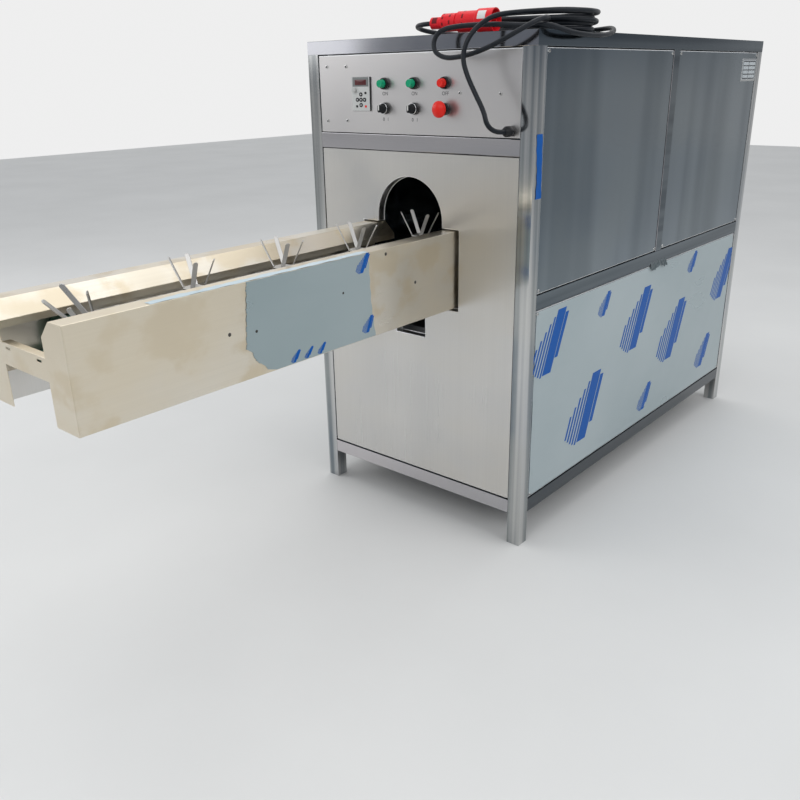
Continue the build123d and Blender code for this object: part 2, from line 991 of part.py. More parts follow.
def link_place(index):
    """Where a link of the endless chain lies, counted from the tail along the upper run."""
    step = 180 / wrap_links
    middle_radius = pitch_radius * math.cos(math.radians(step / 2))
    if index < run_links:
        y = tail_axle_y + (index + 0.5) * chain_pitch
        return Location((conveyor_x, y, chain_line_z))
    if index < run_links + wrap_links:
        angle = (index - run_links + 0.5) * step
        return wrap_place(drive_axle_y, middle_radius, angle, -angle)
    if index < loop_links - wrap_links:
        y = drive_axle_y - (index - run_links - wrap_links + 0.5) * chain_pitch
        return Location((conveyor_x, y, return_line_z), (180, 0, 0))
    angle = (loop_links - index - 0.5) * step
    return wrap_place(tail_axle_y, -middle_radius, angle, angle)


def wrap_place(axle_y, radius, angle, turn):
    """Where a link lies on a sprocket, by its angle from the top."""
    y = axle_y + radius * math.sin(math.radians(angle))
    z = axle_z + abs(radius) * math.cos(math.radians(angle))
    return Location((conveyor_x, y, z), (turn, 0, 0))


def chain_stretch(first, last):
    """The links from one index to the next but not it, with the rollers between them."""
    plates = []
    for index in range(first, last):
        place = link_place(index)
        plates += [plate.moved(place) for plate in link_plates(outer=index % 2 == 0)]
        if index > first:
            plates.append(link_roller().moved(place * Location((0, -chain_pitch / 2, 0))))
    return plates


def wrap_end_rollers(first):
    """The rollers where a wrap meets the two straight runs."""
    last = first + wrap_links - 1
    start = link_place(first) * Location((0, -chain_pitch / 2, 0))
    end = link_place(last) * Location((0, chain_pitch / 2, 0))
    return [link_roller().moved(start), link_roller().moved(end)]


def holders(first, last):
    """The holders on every fifth link of a stretch."""
    pieces = []
    for index in range(first, last):
        if index % holder_every == holder_every - 1:
            place = link_place(index)
            pieces += [piece.moved(place) for piece in holder_pieces()]
    return pieces


def gearbox():
    """A worm gear unit on its shelf: round case, worm barrel above it and the motor flange."""
    case = rod(gear_case_radius, (gear_case_x, drive_axle_y, axle_z), (1, 0, 0), gear_case_width)
    foot = block(
        gear_case_x,
        gear_case_far_x,
        drive_axle_y - gear_case_radius,
        drive_axle_y + gear_case_radius,
        arm_top_z,
        axle_z - gear_case_radius / 3,
    )
    below = block(
        gear_case_x - overrun,
        gear_case_far_x + overrun,
        drive_axle_y - 2 * gear_case_radius,
        drive_axle_y + 2 * gear_case_radius,
        axle_z - 2 * gear_case_radius,
        arm_top_z,
    )
    flange_y = drive_axle_y - gear_case_radius - motor_flange_thickness
    barrel_length = 2 * gear_case_radius + motor_flange_thickness
    start = (gear_case_middle_x, flange_y, worm_z)
    barrel = rod(worm_barrel_radius, start, (0, 1, 0), barrel_length)
    flange = rod(motor_flange_radius, start, (0, 1, 0), motor_flange_thickness)
    keep = block(
        gear_case_x - overrun,
        gear_case_far_x + motor_flange_radius,
        flange_y - overrun,
        drive_axle_y,
        arm_top_z,
        worm_z + 2 * motor_flange_radius,
    )
    bore = rod(
        drive_shaft_radius + running_gap,
        (gear_case_x - overrun, drive_axle_y, axle_z),
        (1, 0, 0),
        gear_case_width + 2 * overrun,
    )
    return (case + foot - below) + barrel + (flange & keep) - bore


def drive_motor():
    """The motor on the gear unit, with its fan cowl and terminal box."""
    flange_y = drive_axle_y - gear_case_radius - motor_flange_thickness
    body = rod(motor_radius, (gear_case_middle_x, flange_y, worm_z), (0, -1, 0), motor_length)
    cowl_start = (gear_case_middle_x, flange_y - motor_length, worm_z)
    cowl = rod(motor_radius - motor_cowl_step, cowl_start, (0, -1, 0), motor_cowl_length)
    half = motor_box_width / 2
    box_end_y = flange_y - motor_length / 4
    box = block(
        gear_case_middle_x - half,
        gear_case_middle_x + half,
        box_end_y - motor_box_length,
        box_end_y,
        worm_z,
        worm_z + motor_radius + motor_box_height,
    )
    return body + cowl + box


def station_hangers():
    """The tubes that hang from the top beams and hold the press and the cutter."""
    half = hanger_tube / 2
    press_y = press_beam_y + half
    cutter_y = cutter_beam_y + half
    cutter_x = conveyor_x + cutter_side_offset
    return [
        tube_along_z(
            conveyor_x - half,
            conveyor_x + half,
            press_y - half,
            press_y + half,
            ring_z - press_hanger_length,
            ring_z,
        ),
        tube_along_z(
            cutter_x - half,
            cutter_x + half,
            cutter_y - half,
            cutter_y + half,
            ring_z - cutter_hanger_length,
            ring_z,
        ),
        block(
            cutter_x - cutter_motor_radius,
            cutter_x + cutter_motor_radius,
            cutter_y - cutter_motor_radius,
            cutter_y + cutter_motor_radius,
            ring_z - cutter_hanger_length - cutter_plate,
            ring_z - cutter_hanger_length,
        ),
    ]


def cutter_axis():
    """Where the cutter's upright axis crosses the floor."""
    return conveyor_x + cutter_side_offset, cutter_beam_y + hanger_tube / 2


def cutter_motor():
    """The upright motor over the blade, with a stepped nose."""
    x, y = cutter_axis()
    top = ring_z - cutter_hanger_length - cutter_plate
    outline = [
        (0, 0),
        (cutter_nose_radius, 0),
        (cutter_nose_radius, cutter_nose_length),
        (cutter_motor_radius, cutter_nose_length + cutter_nose_length / 2),
        (cutter_motor_radius, cutter_motor_length),
        (0, cutter_motor_length),
    ]
    return turned(outline, Location((x, y, top - cutter_motor_length)))


def cutter_blade():
    """The disc blade with scalloped edge, its hub and its spindle up to the motor."""
    x, y = cutter_axis()
    disc = Circle(blade_radius)
    for index in range(blade_notches):
        turn = Rot(0, 0, index * 360 / blade_notches)
        disc = disc - turn * (Pos(blade_radius, 0) * Circle(blade_notch_radius))
    blade = extrude(disc, amount=blade_thickness)
    hub = Cylinder(blade_hub_radius, blade_hub_height, align=STANDING)
    nose_z = ring_z - cutter_hanger_length - cutter_plate - cutter_motor_length
    spindle = Cylinder(spindle_radius, nose_z - fit_gap - blade_z, align=STANDING)
    return (blade + hub + spindle).moved(Location((x, y, blade_z)))


def press_top():
    """The height of the pneumatic cylinder's upper end."""
    return ring_z - press_hanger_length


def press_cylinder():
    """The air cylinder with end caps and a bore for its rod."""
    y = press_beam_y + hanger_tube / 2
    cap = press_cylinder_length * press_cap_share
    body_radius = press_cylinder_radius * press_body_share
    outline = [
        (0, 0),
        (press_cylinder_radius, 0),
        (press_cylinder_radius, cap),
        (body_radius, cap),
        (body_radius, press_cylinder_length - cap),
        (press_cylinder_radius, press_cylinder_length - cap),
        (press_cylinder_radius, press_cylinder_length),
        (0, press_cylinder_length),
    ]
    base_z = press_top() - press_cylinder_length
    body = turned(outline, Location((conveyor_x, y, base_z)))
    bore = rod(
        press_rod_radius + running_gap,
        (conveyor_x, y, base_z - overrun),
        (0, 0, 1),
        press_rod_engaged + fit_gap + overrun,
    )
    return body - bore


def press_head():
    """The rod of the air cylinder and the cup that presses on an onion."""
    y = press_beam_y + hanger_tube / 2
    base_z = press_top() - press_cylinder_length
    cup_top = base_z - press_rod_shown
    cup_bottom = cup_top - press_cup_height
    inner = press_cup_radius - press_cup_wall
    shoulder = press_cup_height / 2
    outline = [
        (press_rod_radius, press_cup_height),
        (press_rod_radius, press_cup_height + press_rod_shown + press_rod_engaged),
        (0, press_cup_height + press_rod_shown + press_rod_engaged),
        (0, press_cup_height - press_cup_wall),
        (inner - press_cup_height / 4, press_cup_height - press_cup_wall),
        (inner, shoulder),
        (inner, 0),
        (press_cup_radius, 0),
        (press_cup_radius, shoulder),
        (press_cup_radius - press_cup_height / 4, press_cup_height),
    ]
    return turned(outline, Location((conveyor_x, y, cup_bottom)))


def air_manifold():
    """A bent pipe over the chain with nozzles, feet on both arms and a valve on top."""
    foot_z = arm_top_z + manifold_foot_thickness
    path = FilletPolyline(
        (conveyor_x - arm_middle, manifold_y, foot_z),
        (conveyor_x - arm_middle, manifold_y, manifold_top_z),
        (conveyor_x + arm_middle, manifold_y, manifold_top_z),
        (conveyor_x + arm_middle, manifold_y, foot_z),
        radius=manifold_bend,
    )
    start = Plane(origin=path @ 0, z_dir=path % 0)
    pipe = sweep(start * Circle(manifold_tube_radius), path=path)
    bore = sweep(start * Circle(manifold_tube_radius - manifold_wall), path=path)
    pipe = pipe - bore
    for place in nozzle_places:
        nozzle_z = manifold_top_z - manifold_tube_radius + manifold_wall / 2
        nozzle_start = (conveyor_x + place, manifold_y, nozzle_z)
        pipe = pipe + rod(nozzle_radius, nozzle_start, (0, 0, -1), nozzle_length)
    boss_z = manifold_top_z + manifold_tube_radius - manifold_wall / 2
    boss_top = manifold_top_z + manifold_tube_radius + valve_boss_height
    boss = rod(manifold_tube_radius, (conveyor_x, manifold_y, boss_z), (0, 0, 1), boss_top - boss_z)
    pipe = pipe + boss
    pieces = [pipe]
    half = manifold_foot / 2
    for side in (-1, 1):
        middle = conveyor_x + side * arm_middle
        pieces.append(
            block(middle - half, middle + half, manifold_y - half, manifold_y + half, arm_top_z, foot_z)
        )
    valve = Box(valve_width, valve_depth, valve_height, align=STANDING)
    pieces.append(valve.moved(Location((conveyor_x, manifold_y, boss_top))))
    return pieces


def discharge_chute():
    """The slide from under the chain's rear end to the opening in the rear panel."""
    floor_outline = [
        (chute_start_y, chute_start_z - chute_sheet),
        (cabinet_length, chute_end_z - chute_sheet),
        (cabinet_length, chute_end_z),
        (chute_start_y, chute_start_z),
    ]
    wall_outline = [
        (chute_start_y, chute_start_z - chute_sheet),
        (cabinet_length, chute_end_z - chute_sheet),
        (cabinet_length, chute_wall_end_z),
        (chute_wall_bend_y, arm_bottom_z),
        (chute_start_y, arm_bottom_z),
    ]
    left = conveyor_x - chute_half_width
    right = conveyor_x + chute_half_width
    return [
        extruded_x(floor_outline, left, right),
        extruded_x(wall_outline, left - chute_sheet, left),
        extruded_x(wall_outline, right, right + chute_sheet),
    ]


def hopper_wall(top_a, top_b, low_a, low_b, inwards):
    """A sloping wall of the hopper from its four corners, thickened to the inside."""
    outline = make_face(Polyline(top_a, top_b, low_b, low_a, close=True))
    return extrude(outline, amount=chute_sheet, dir=inwards)


def waste_chute():
    """The hopper under the chain that leads skins and roots to the open bottom."""
    half_x = half_width - chute_rail_inset - chute_rail
    top = chute_rail_z + chute_rail
    middle_y = (hopper_front_y + hopper_rear_y) / 2
    out = hopper_outlet / 2
    low = hopper_outlet_z
    corners_top = {
        "lf": (-half_x, hopper_front_y, top),
        "rf": (half_x, hopper_front_y, top),
        "lr": (-half_x, hopper_rear_y, top),
        "rr": (half_x, hopper_rear_y, top),
    }
    corners_low = {
        "lf": (-out, middle_y - out, low),
        "rf": (out, middle_y - out, low),
        "lr": (-out, middle_y + out, low),
        "rr": (out, middle_y + out, low),
    }
    sides = [
        hopper_wall(corners_top["lf"], corners_top["lr"], corners_low["lf"], corners_low["lr"], (1, 0, 0)),
        hopper_wall(corners_top["rf"], corners_top["rr"], corners_low["rf"], corners_low["rr"], (-1, 0, 0)),
    ]
    inner = [(-half_x + chute_sheet, -out + chute_sheet), (half_x - chute_sheet, out - chute_sheet)]
    ends = []
    for y_top, y_low, inwards in (
        (hopper_front_y, middle_y - out, (0, 1, 0)),
        (hopper_rear_y, middle_y + out, (0, -1, 0)),
    ):
        ends.append(
            hopper_wall(
                (inner[0][0], y_top, top),
                (inner[1][0], y_top, top),
                (inner[0][1], y_low, low),
                (inner[1][1], y_low, low),
                inwards,
            )
        )
    return sides + ends


def switchgear_plate():
    """The plate behind the control panel with its contactors and terminal strip."""
    half = switch_plate_width / 2
    y_from = switch_beam_y + tube / 2
    plate = block(
        -half, half, y_from, y_from + switch_plate_thickness, ring_z - switch_plate_height, ring_z
    )
    pieces = [plate]
    middle_z = ring_z - switch_plate_height / 2
    for index in range(contactor_count):
        x_from = contactor_start_x + index * contactor_pitch
        pieces.append(
            block(
                x_from,
                x_from + contactor_width,
                y_from - contactor_depth,
                y_from,
                middle_z - contactor_height / 2,
                middle_z + contactor_height / 2,
            )
        )
    pieces.append(
        block(
            terminal_x,
            terminal_x + terminal_width,
            y_from - terminal_depth,
            y_from,
            middle_z - terminal_height / 2,
            middle_z + terminal_height / 2,
        )
    )
    return pieces


def inverter():
    """The speed inverter behind the panel, its keypad frame in front of it."""
    frame_half_w = keypad_width / 2
    frame_half_h = keypad_height / 2
    frame = block(
        keypad_x - frame_half_w,
        keypad_x + frame_half_w,
        panel_face_y - keypad_frame_depth,
        panel_face_y,
        keypad_z - frame_half_h,
        keypad_z + frame_half_h,
    )
    front_edges = frame.edges().filter_by(Axis.Y)
    frame = fillet(front_edges, keypad_frame_depth / 2)
    neck = block(
        keypad_x - keypad_neck_width / 2,
        keypad_x + keypad_neck_width / 2,
        panel_face_y - keypad_frame_depth / 2,
        panel_back_y + fit_gap,
        keypad_z - keypad_neck_height / 2,
        keypad_z + keypad_neck_height / 2,
    )
    body = block(
        keypad_x - inverter_width / 2,
        keypad_x + inverter_width / 2,
        panel_back_y,
        panel_back_y + inverter_depth,
        keypad_z - inverter_height / 2,
        keypad_z + inverter_height / 2,
    )
    display = block(
        keypad_x - keypad_display_width / 2,
        keypad_x + keypad_display_width / 2,
        panel_face_y - keypad_frame_depth - overrun,
        panel_face_y - keypad_frame_depth + keypad_display_depth,
        keypad_z + keypad_display_rise - keypad_display_height / 2,
        keypad_z + keypad_display_rise + keypad_display_height / 2,
    )
    return frame + neck + body - display


def keypad_knob():
    """The small speed knob on the keypad, with a raised pointer."""
    face_y = panel_face_y - keypad_frame_depth - fit_gap
    body = rod(knob_radius, (knob_x, face_y, knob_z), (0, -1, 0), knob_depth)
    pointer = block(
        knob_x - knob_pointer / 2,
        knob_x + knob_pointer / 2,
        face_y - knob_depth - knob_pointer / 2,
        face_y - knob_depth / 2,
        knob_z,
        knob_z + knob_radius,
    )
    return body + pointer


def facing_front(x, z, y=0):
    """A place whose own z axis points out of the control panel, towards the operator."""
    return Plane(origin=(x, panel_face_y - y, z), x_dir=(1, 0, 0), z_dir=(0, -1, 0))


def switch_body(x, z):
    """The fixed part of a switch: bezel, sleeve through the panel, nut and contact block."""
    nut_front = -sheet - fit_gap
    nut_back = nut_front - device_nut_depth
    outline = [
        (bezel_bore_radius, bezel_depth - bezel_bore_depth),
        (bezel_bore_radius, bezel_depth),
        (bezel_front_radius, bezel_depth),
        (bezel_radius, bezel_depth / 2),
        (bezel_radius, 0),
        (device_sleeve_radius, 0),
        (device_sleeve_radius, nut_front),
        (device_nut_radius, nut_front),
        (device_nut_radius, nut_back),
        (device_sleeve_radius, nut_back),
        (device_sleeve_radius, -sleeve_depth),
        (0, -sleeve_depth),
        (0, bezel_depth - bezel_bore_depth),
    ]
    body = turned(outline, facing_front(x, z))
    block_y = panel_face_y + sleeve_depth
    contacts = block(
        x - contact_block_width / 2,
        x + contact_block_width / 2,
        block_y,
        block_y + contact_block_depth,
        z - contact_block_height / 2,
        z + contact_block_height / 2,
    )
    return body + contacts


def push_button(x, z):
    """A long push-button cap with a rounded front edge."""
    tail = -cap_tail
    front = bezel_depth + cap_proud
    edge = cap_radius - cap_front_radius
    outline = [
        (0, tail),
        (cap_radius, tail),
        (cap_radius, front - edge),
        (cap_front_radius, front),
        (0, front),
    ]
    return turned(outline, facing_front(x, z))


def selector(x, z):
    """A rotary selector: round base in the bezel and a grip bar with rounded ends."""
    base_front = bezel_depth + selector_proud
    outline = [(0, -cap_tail), (cap_radius, -cap_tail), (cap_radius, base_front), (0, base_front)]
    base = turned(outline, facing_front(x, z))
    grip_section = SlotOverall(2 * cap_radius * selector_grip_share, selector_grip_width)
    bar = extrude(grip_section, amount=base_front + selector_grip_depth)
    grip = facing_front(x, z) * (Rot(0, 0, 90) * bar)
    keep = block(
        x - 2 * cap_radius,
        x + 2 * cap_radius,
        panel_face_y - base_front - 2 * selector_grip_depth,
        panel_face_y - bezel_depth,
        z - 2 * cap_radius,
        z + 2 * cap_radius,
    )
    return base + (grip & keep)


def estop_stem(x, z):
    """The sliding stem of the emergency stop, with the nose that its head turns on."""
    front = bezel_depth + stop_stem_proud
    outline = [
        (0, -cap_tail),
        (cap_radius, -cap_tail),
        (cap_radius, front),
        (stop_nose_radius, front),
        (stop_nose_radius, front + stop_nose_length),
        (0, front + stop_nose_length),
    ]
    return turned(outline, facing_front(x, z))


def estop_mushroom(x, z):
    """The domed head of the emergency stop, with a socket for the stem's nose."""
    back = bezel_depth + stop_stem_proud + fit_gap
    rim = back + mushroom_rim
    front = rim + mushroom_dome
    socket = bezel_depth + stop_stem_proud + stop_nose_length + fit_gap
    bore = stop_nose_radius + running_gap
    ball = (mushroom_radius * mushroom_radius + mushroom_dome * mushroom_dome) / (2 * mushroom_dome)
    half_angle = math.asin(mushroom_radius / ball) / 2
    crown = ThreePointArc(
        (mushroom_radius, rim),
        (ball * math.sin(half_angle), front - ball + ball * math.cos(half_angle)),
        (0, front),
    )
    underside = Polyline(
        (0, front),
        (0, socket),
        (bore, socket),
        (bore, back),
        (mushroom_radius, back),
        (mushroom_radius, rim),
    )
    section = make_face(underside + crown)
    return facing_front(x, z) * revolve(Plane.XZ * section, Axis.Z)


def cable_gland():
    """The gland in the control panel: nut, six-sided collar and tapered dome."""
    nut_front = -sheet - fit_gap
    hexagon = extrude(RegularPolygon(gland_hex_radius, gland_hex_sides), amount=gland_hex_depth)
    outline = [
        (0, nut_front - device_nut_depth),
        (gland_nut_radius, nut_front - device_nut_depth),
        (gland_nut_radius, nut_front),
        (gland_body_radius, nut_front),
        (gland_body_radius, 0),
        (gland_nut_radius, gland_hex_depth),
        (gland_nut_radius, gland_length * 2 / 3),
        (cord_diameter * 2 / 3, gland_length),
        (0, gland_length),
    ]
    place = facing_front(gland_x, gland_z)
    return place * hexagon + turned(outline, place)


def biarc(start, start_way, end, end_way):
    """Two arcs that leave and arrive in the given directions and meet smoothly."""
    chord = end - start
    ways = start_way + end_way
    spread = 4 - ways.dot(ways)
    along = chord.dot(ways)
    reach = (math.sqrt(along * along + spread * chord.dot(chord)) - along) / spread
    first = start + start_way * reach
    second = end - end_way * reach
    joint = (first + second) * 0.5
    joint_way = (second - first).normalized()
    return [TangentArc(start, joint, tangent=start_way), TangentArc(joint, end, tangent=joint_way)]


def coil_nodes():
    """Quarter-turn points of the coil with their directions: in, up, out, up, in, up and out."""
    nodes = []
    angle = -90
    inset = 0
    height = top_z + cord_diameter / 2 + fit_gap
    inwards = 1
    for layer, quarters in enumerate(coil_layer_quarters):
        moves = [(inwards * coil_step / 4, 0)] * quarters
        if layer < len(coil_layer_quarters) - 1:
            moves += [(0, coil_lift / coil_climb_quarters)] * coil_climb_quarters
        for step_in, step_up in moves:
            nodes.append(coil_node(angle, inset, height))
            angle -= 90
            inset += step_in
            height += step_up
        inwards = -inwards
    nodes.append(coil_node(angle, inset, height))
    return nodes


def coil_node(angle, inset, height):
    """A point of the coil and the direction in which the cord passes it, clockwise from above."""
    turn = math.radians(angle)
    point = Vector(
        coil_centre_x + (coil_radius_x - inset) * math.cos(turn),
        coil_centre_y + (coil_radius_y - inset) * math.sin(turn),
        height,
    )
    return point, Vector(math.sin(turn), -math.cos(turn), 0)


def coil_ends():
    """The coil's two ends, one cord diameter straight beyond its first and last turns."""
    nodes = coil_nodes()
    first, first_way = nodes[0]
    last, last_way = nodes[-1]
    return first - first_way * cord_diameter, last + last_way * cord_diameter


def coil_path():
    """The line of the whole coil, from its lowest loop to its top one."""
    nodes = coil_nodes()
    low_end, high_end = coil_ends()
    edges = [Line(low_end, nodes[0][0])]
    for (start, start_way), (end, end_way) in zip(nodes, nodes[1:]):
        edges += biarc(start, start_way, end, end_way)
    edges.append(Line(nodes[-1][0], high_end))
    return Wire(edges)


def tube_on(path):
    """A round tube of the cord's diameter along a path."""
    start = Plane(origin=path @ 0, z_dir=path % 0)
    return sweep(start * Circle(cord_diameter / 2), path=path)


def least_gap(path):
    """The least gap between stretches of a coil that aren't neighbours along the cord."""
    spacing = cord_diameter / 4
    count = int(path.length / spacing)
    points = [path @ (index / count) for index in range(count + 1)]
    skip = int(8 * cord_diameter / spacing)
    least = path.length
    for index, point in enumerate(points):
        for other in points[index + skip :]:
            least = min(least, (point - other).length)
    return least - cord_diameter


def cord_coil():
    """The coil on the machine's top, one unbroken tube in four layers."""
    path = coil_path()
    coil = tube_on(path)
    expected = path.length * math.pi * cord_diameter * cord_diameter / 4
    print("coil length", round(path.length), "volume share", round(coil.volume / expected, 4))
    print("coil least gap", round(least_gap(path), 2))
    return coil


def bend_radii(points):
    """The radius at each corner of a route: a share of the shorter run that meets it."""
    radii = []
    for before, corner, after in zip(points, points[1:], points[2:]):
        incoming = corner - before
        outgoing = after - corner
        half_turn = math.radians(incoming.get_angle(outgoing)) / 2
        radii.append(bend_share * min(incoming.length, outgoing.length) / math.tan(half_turn))
    return radii


def cord_stretch(name, points):
    """A free stretch of the cord: straight runs joined by arcs."""
    route = [Vector(*point) for point in points]
    radii = bend_radii(route)
    path = FilletPolyline(*route, radius=radii)
    tube = tube_on(path)
    expected = path.length * math.pi * cord_diameter * cord_diameter / 4
    print(name, "length", round(path.length), "volume share", round(tube.volume / expected, 4))
    print(name, "radii", [round(radius) for radius in radii])
    return tube


def plug_axis():
    """A place at the plug's cable end whose own z axis runs to its pins."""
    turn = math.radians(plug_turn)
    height = top_z + plug_collar_radius + fit_gap
    return Plane(origin=(plug_end_x, plug_end_y, height), z_dir=(math.cos(turn), math.sin(turn), 0))


def with_leads(start, start_way, points, end, end_way):
    """A route whose two ends leave what they meet straight, for one lead each."""
    first = Vector(*start)
    last = Vector(*end)
    return [first, first + start_way * cord_lead, *points, last + end_way * cord_lead, last]


def gland_stretch():
    """The stretch from the gland up over the front rim to the coil's top loop."""
    start = (gland_x, panel_face_y - gland_length, gland_z)
    high_way = coil_nodes()[-1][1]
    return with_leads(start, Vector(0, -1, 0), gland_stretch_points, coil_ends()[1], high_way)


def plug_stretch():
    """The stretch from the coil's lowest loop over the rim, round the coil and to the plug."""
    low_way = coil_nodes()[0][1] * -1
    plug_way = plug_axis().z_dir * -1
    return with_leads(coil_ends()[0], low_way, plug_stretch_points, plug_axis().origin, plug_way)


def power_plug():
    """The round industrial plug: cable end, grip bands, and a collar with pins in it."""
    band_end = plug_tail_length + plug_band_length
    body_end = band_end + plug_groove_length + plug_body_length
    collar_end = body_end + plug_collar_length
    bore = plug_collar_radius - plug_collar_wall
    outline = [
        (0, 0),
        (plug_tail_radius, 0),
        (plug_tail_radius, plug_tail_length),
        (plug_band_radius, plug_tail_length + plug_groove_length),
        (plug_band_radius, band_end),
        (plug_band_radius - plug_groove_depth, band_end),
        (plug_band_radius - plug_groove_depth, band_end + plug_groove_length),
        (plug_body_radius, band_end + plug_groove_length),
        (plug_body_radius, body_end),
        (plug_collar_radius, body_end + plug_groove_length),
        (plug_collar_radius, collar_end),
        (bore, collar_end),
        (bore, collar_end - plug_bore_depth),
        (0, collar_end - plug_bore_depth),
    ]
    place = plug_axis()
    plug = turned(outline, place)
    for index in range(pin_count):
        turn = 2 * math.pi * index / pin_count
        start = Pos(pin_circle * math.cos(turn), pin_circle * math.sin(turn), collar_end - plug_bore_depth)
        plug = plug + place * (start * Cylinder(pin_radius, pin_length, align=STANDING))
    return plug


if __name__ == "__main__":
    os.makedirs("parts", exist_ok=True)
    panels, stops, heads = cabinet_panels()
    save("corner_posts", *corner_posts())
    save("top_rails", *top_rails())
    save("middle_rails", *middle_rails(), *outrigger_beams())
    save("bottom_rails", *bottom_rails())
    save("panel_stops", *stops)
    save("panel_screws", *heads)
    save("top_cover", top_cover())
    for node, panel in panels.items():
        save(node, panel)
    save("conveyor_arms", *conveyor_arms())
    right_cover = side_cover()
    save("right_side_cover", right_cover)
    save("left_side_cover", mirrored(right_cover, conveyor_x))
    save("conveyor_end_plate", conveyor_end_plate())
    save("arm_ties", *arm_ties())
    save("chain_guide", chain_guide())
    save("bearing_housings", *bearing_housings())
    shaft_reach = arm_outer - tube_wall
    shaft_left_x = conveyor_x - shaft_reach
    drive_right_x = gear_case_far_x + tube_wall
    save("tail_shaft", shaft(tail_axle_y, tail_shaft_radius, shaft_left_x, conveyor_x + shaft_reach))
    save("drive_shaft", shaft(drive_axle_y, drive_shaft_radius, shaft_left_x, drive_right_x))
    save("tail_sprocket", sprocket(tail_axle_y, tail_shaft_radius))
    save("drive_sprocket", sprocket(drive_axle_y, drive_shaft_radius))
    wrap_start = run_links
    return_start = run_links + wrap_links
    tail_start = loop_links - wrap_links
    save("upper_chain", *chain_stretch(0, run_links))
    save("upper_holders", *holders(0, run_links))
    save("drive_chain", *chain_stretch(wrap_start, return_start), *wrap_end_rollers(wrap_start),
         *holders(wrap_start, return_start))
    save("lower_chain", *chain_stretch(return_start, tail_start))
    save("lower_holders", *holders(return_start, tail_start))
    save("tail_chain", *chain_stretch(tail_start, loop_links), *wrap_end_rollers(tail_start),
         *holders(tail_start, loop_links))
    save("gearbox", gearbox())
    save("drive_motor", drive_motor())
    save("station_hangers", *station_hangers())
    save("cutter_motor", cutter_motor())
    save("cutter_blade", cutter_blade())
    save("press_cylinder", press_cylinder())
    save("press_head", press_head())
    save("air_manifold", *air_manifold())
    save("discharge_chute", *discharge_chute())
    save("waste_chute", *waste_chute())
    save("switchgear_plate", *switchgear_plate())
    save("inverter", inverter())
    save("keypad_knob", keypad_knob())
    save("switch_bodies", *[switch_body(x, z) for x, z in device_places()])
    save("start_button_1", push_button(left_column_x, upper_row_z))
    save("start_button_2", push_button(middle_column_x, upper_row_z))
    save("stop_button", push_button(right_column_x, upper_row_z))
    save("selector_1", selector(left_column_x, lower_row_z))
    save("selector_2", selector(middle_column_x, lower_row_z))
    save("estop_stem", estop_stem(right_column_x, lower_row_z))
    save("estop_mushroom", estop_mushroom(right_column_x, lower_row_z))
    save("cable_gland", cable_gland())
    save("power_cord", cord_stretch("power_cord", gland_stretch()))
    save("cord_coil", cord_coil())
    save("plug_cord", cord_stretch("plug_cord", plug_stretch()))
    save("power_plug", power_plug())
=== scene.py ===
"""Looks of a floor-standing onion peeling machine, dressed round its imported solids.

Lengths are in metres, except where a name ends in mm. X runs to the right for someone who faces the infeed conveyor,
Y to the machine's rear and Z up.
"""

import json
import logging
import math
from collections.abc import Sequence
from dataclasses import dataclass, replace
from enum import Enum

import bmesh
import bpy
import numpy as np
from mathutils import Matrix, Vector


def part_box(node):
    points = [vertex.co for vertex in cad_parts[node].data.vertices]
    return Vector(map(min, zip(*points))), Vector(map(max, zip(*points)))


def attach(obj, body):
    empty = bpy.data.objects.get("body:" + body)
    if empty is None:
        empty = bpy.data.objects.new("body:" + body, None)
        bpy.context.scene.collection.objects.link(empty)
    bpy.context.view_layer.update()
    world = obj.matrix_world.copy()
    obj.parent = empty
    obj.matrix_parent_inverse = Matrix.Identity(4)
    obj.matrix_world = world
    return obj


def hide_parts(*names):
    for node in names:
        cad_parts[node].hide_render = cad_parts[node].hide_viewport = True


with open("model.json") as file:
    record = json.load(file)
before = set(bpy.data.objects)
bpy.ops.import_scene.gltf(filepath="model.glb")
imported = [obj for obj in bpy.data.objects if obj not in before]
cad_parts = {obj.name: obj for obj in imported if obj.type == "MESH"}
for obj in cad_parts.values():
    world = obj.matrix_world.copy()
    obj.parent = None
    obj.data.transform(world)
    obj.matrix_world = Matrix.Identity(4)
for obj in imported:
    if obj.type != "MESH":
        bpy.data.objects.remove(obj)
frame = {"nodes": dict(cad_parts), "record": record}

LOG = logging.getLogger("onion_peeler")
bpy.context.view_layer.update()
Triple = tuple[float, float, float]
MM = 0.001
FRONT_SHIFT = -0.194
MERGE_WITHIN = 1e-6
TURNED_SIDES = 48
CORNER_POINTS = 5
BUTTON_CAPS = {"start_button_1": "green_cap", "start_button_2": "green_cap", "stop_button": "red_cap"}


class Grain(Enum):
    """The way in which a sheet's grinding marks run, as the noise's stretch along X, Y and Z."""

    ALONG_X = (1.4, 420.0, 420.0)
    ALONG_Y = (420.0, 1.4, 420.0)
    ALONG_Z = (420.0, 420.0, 1.4)
    NONE = (60.0, 60.0, 60.0)


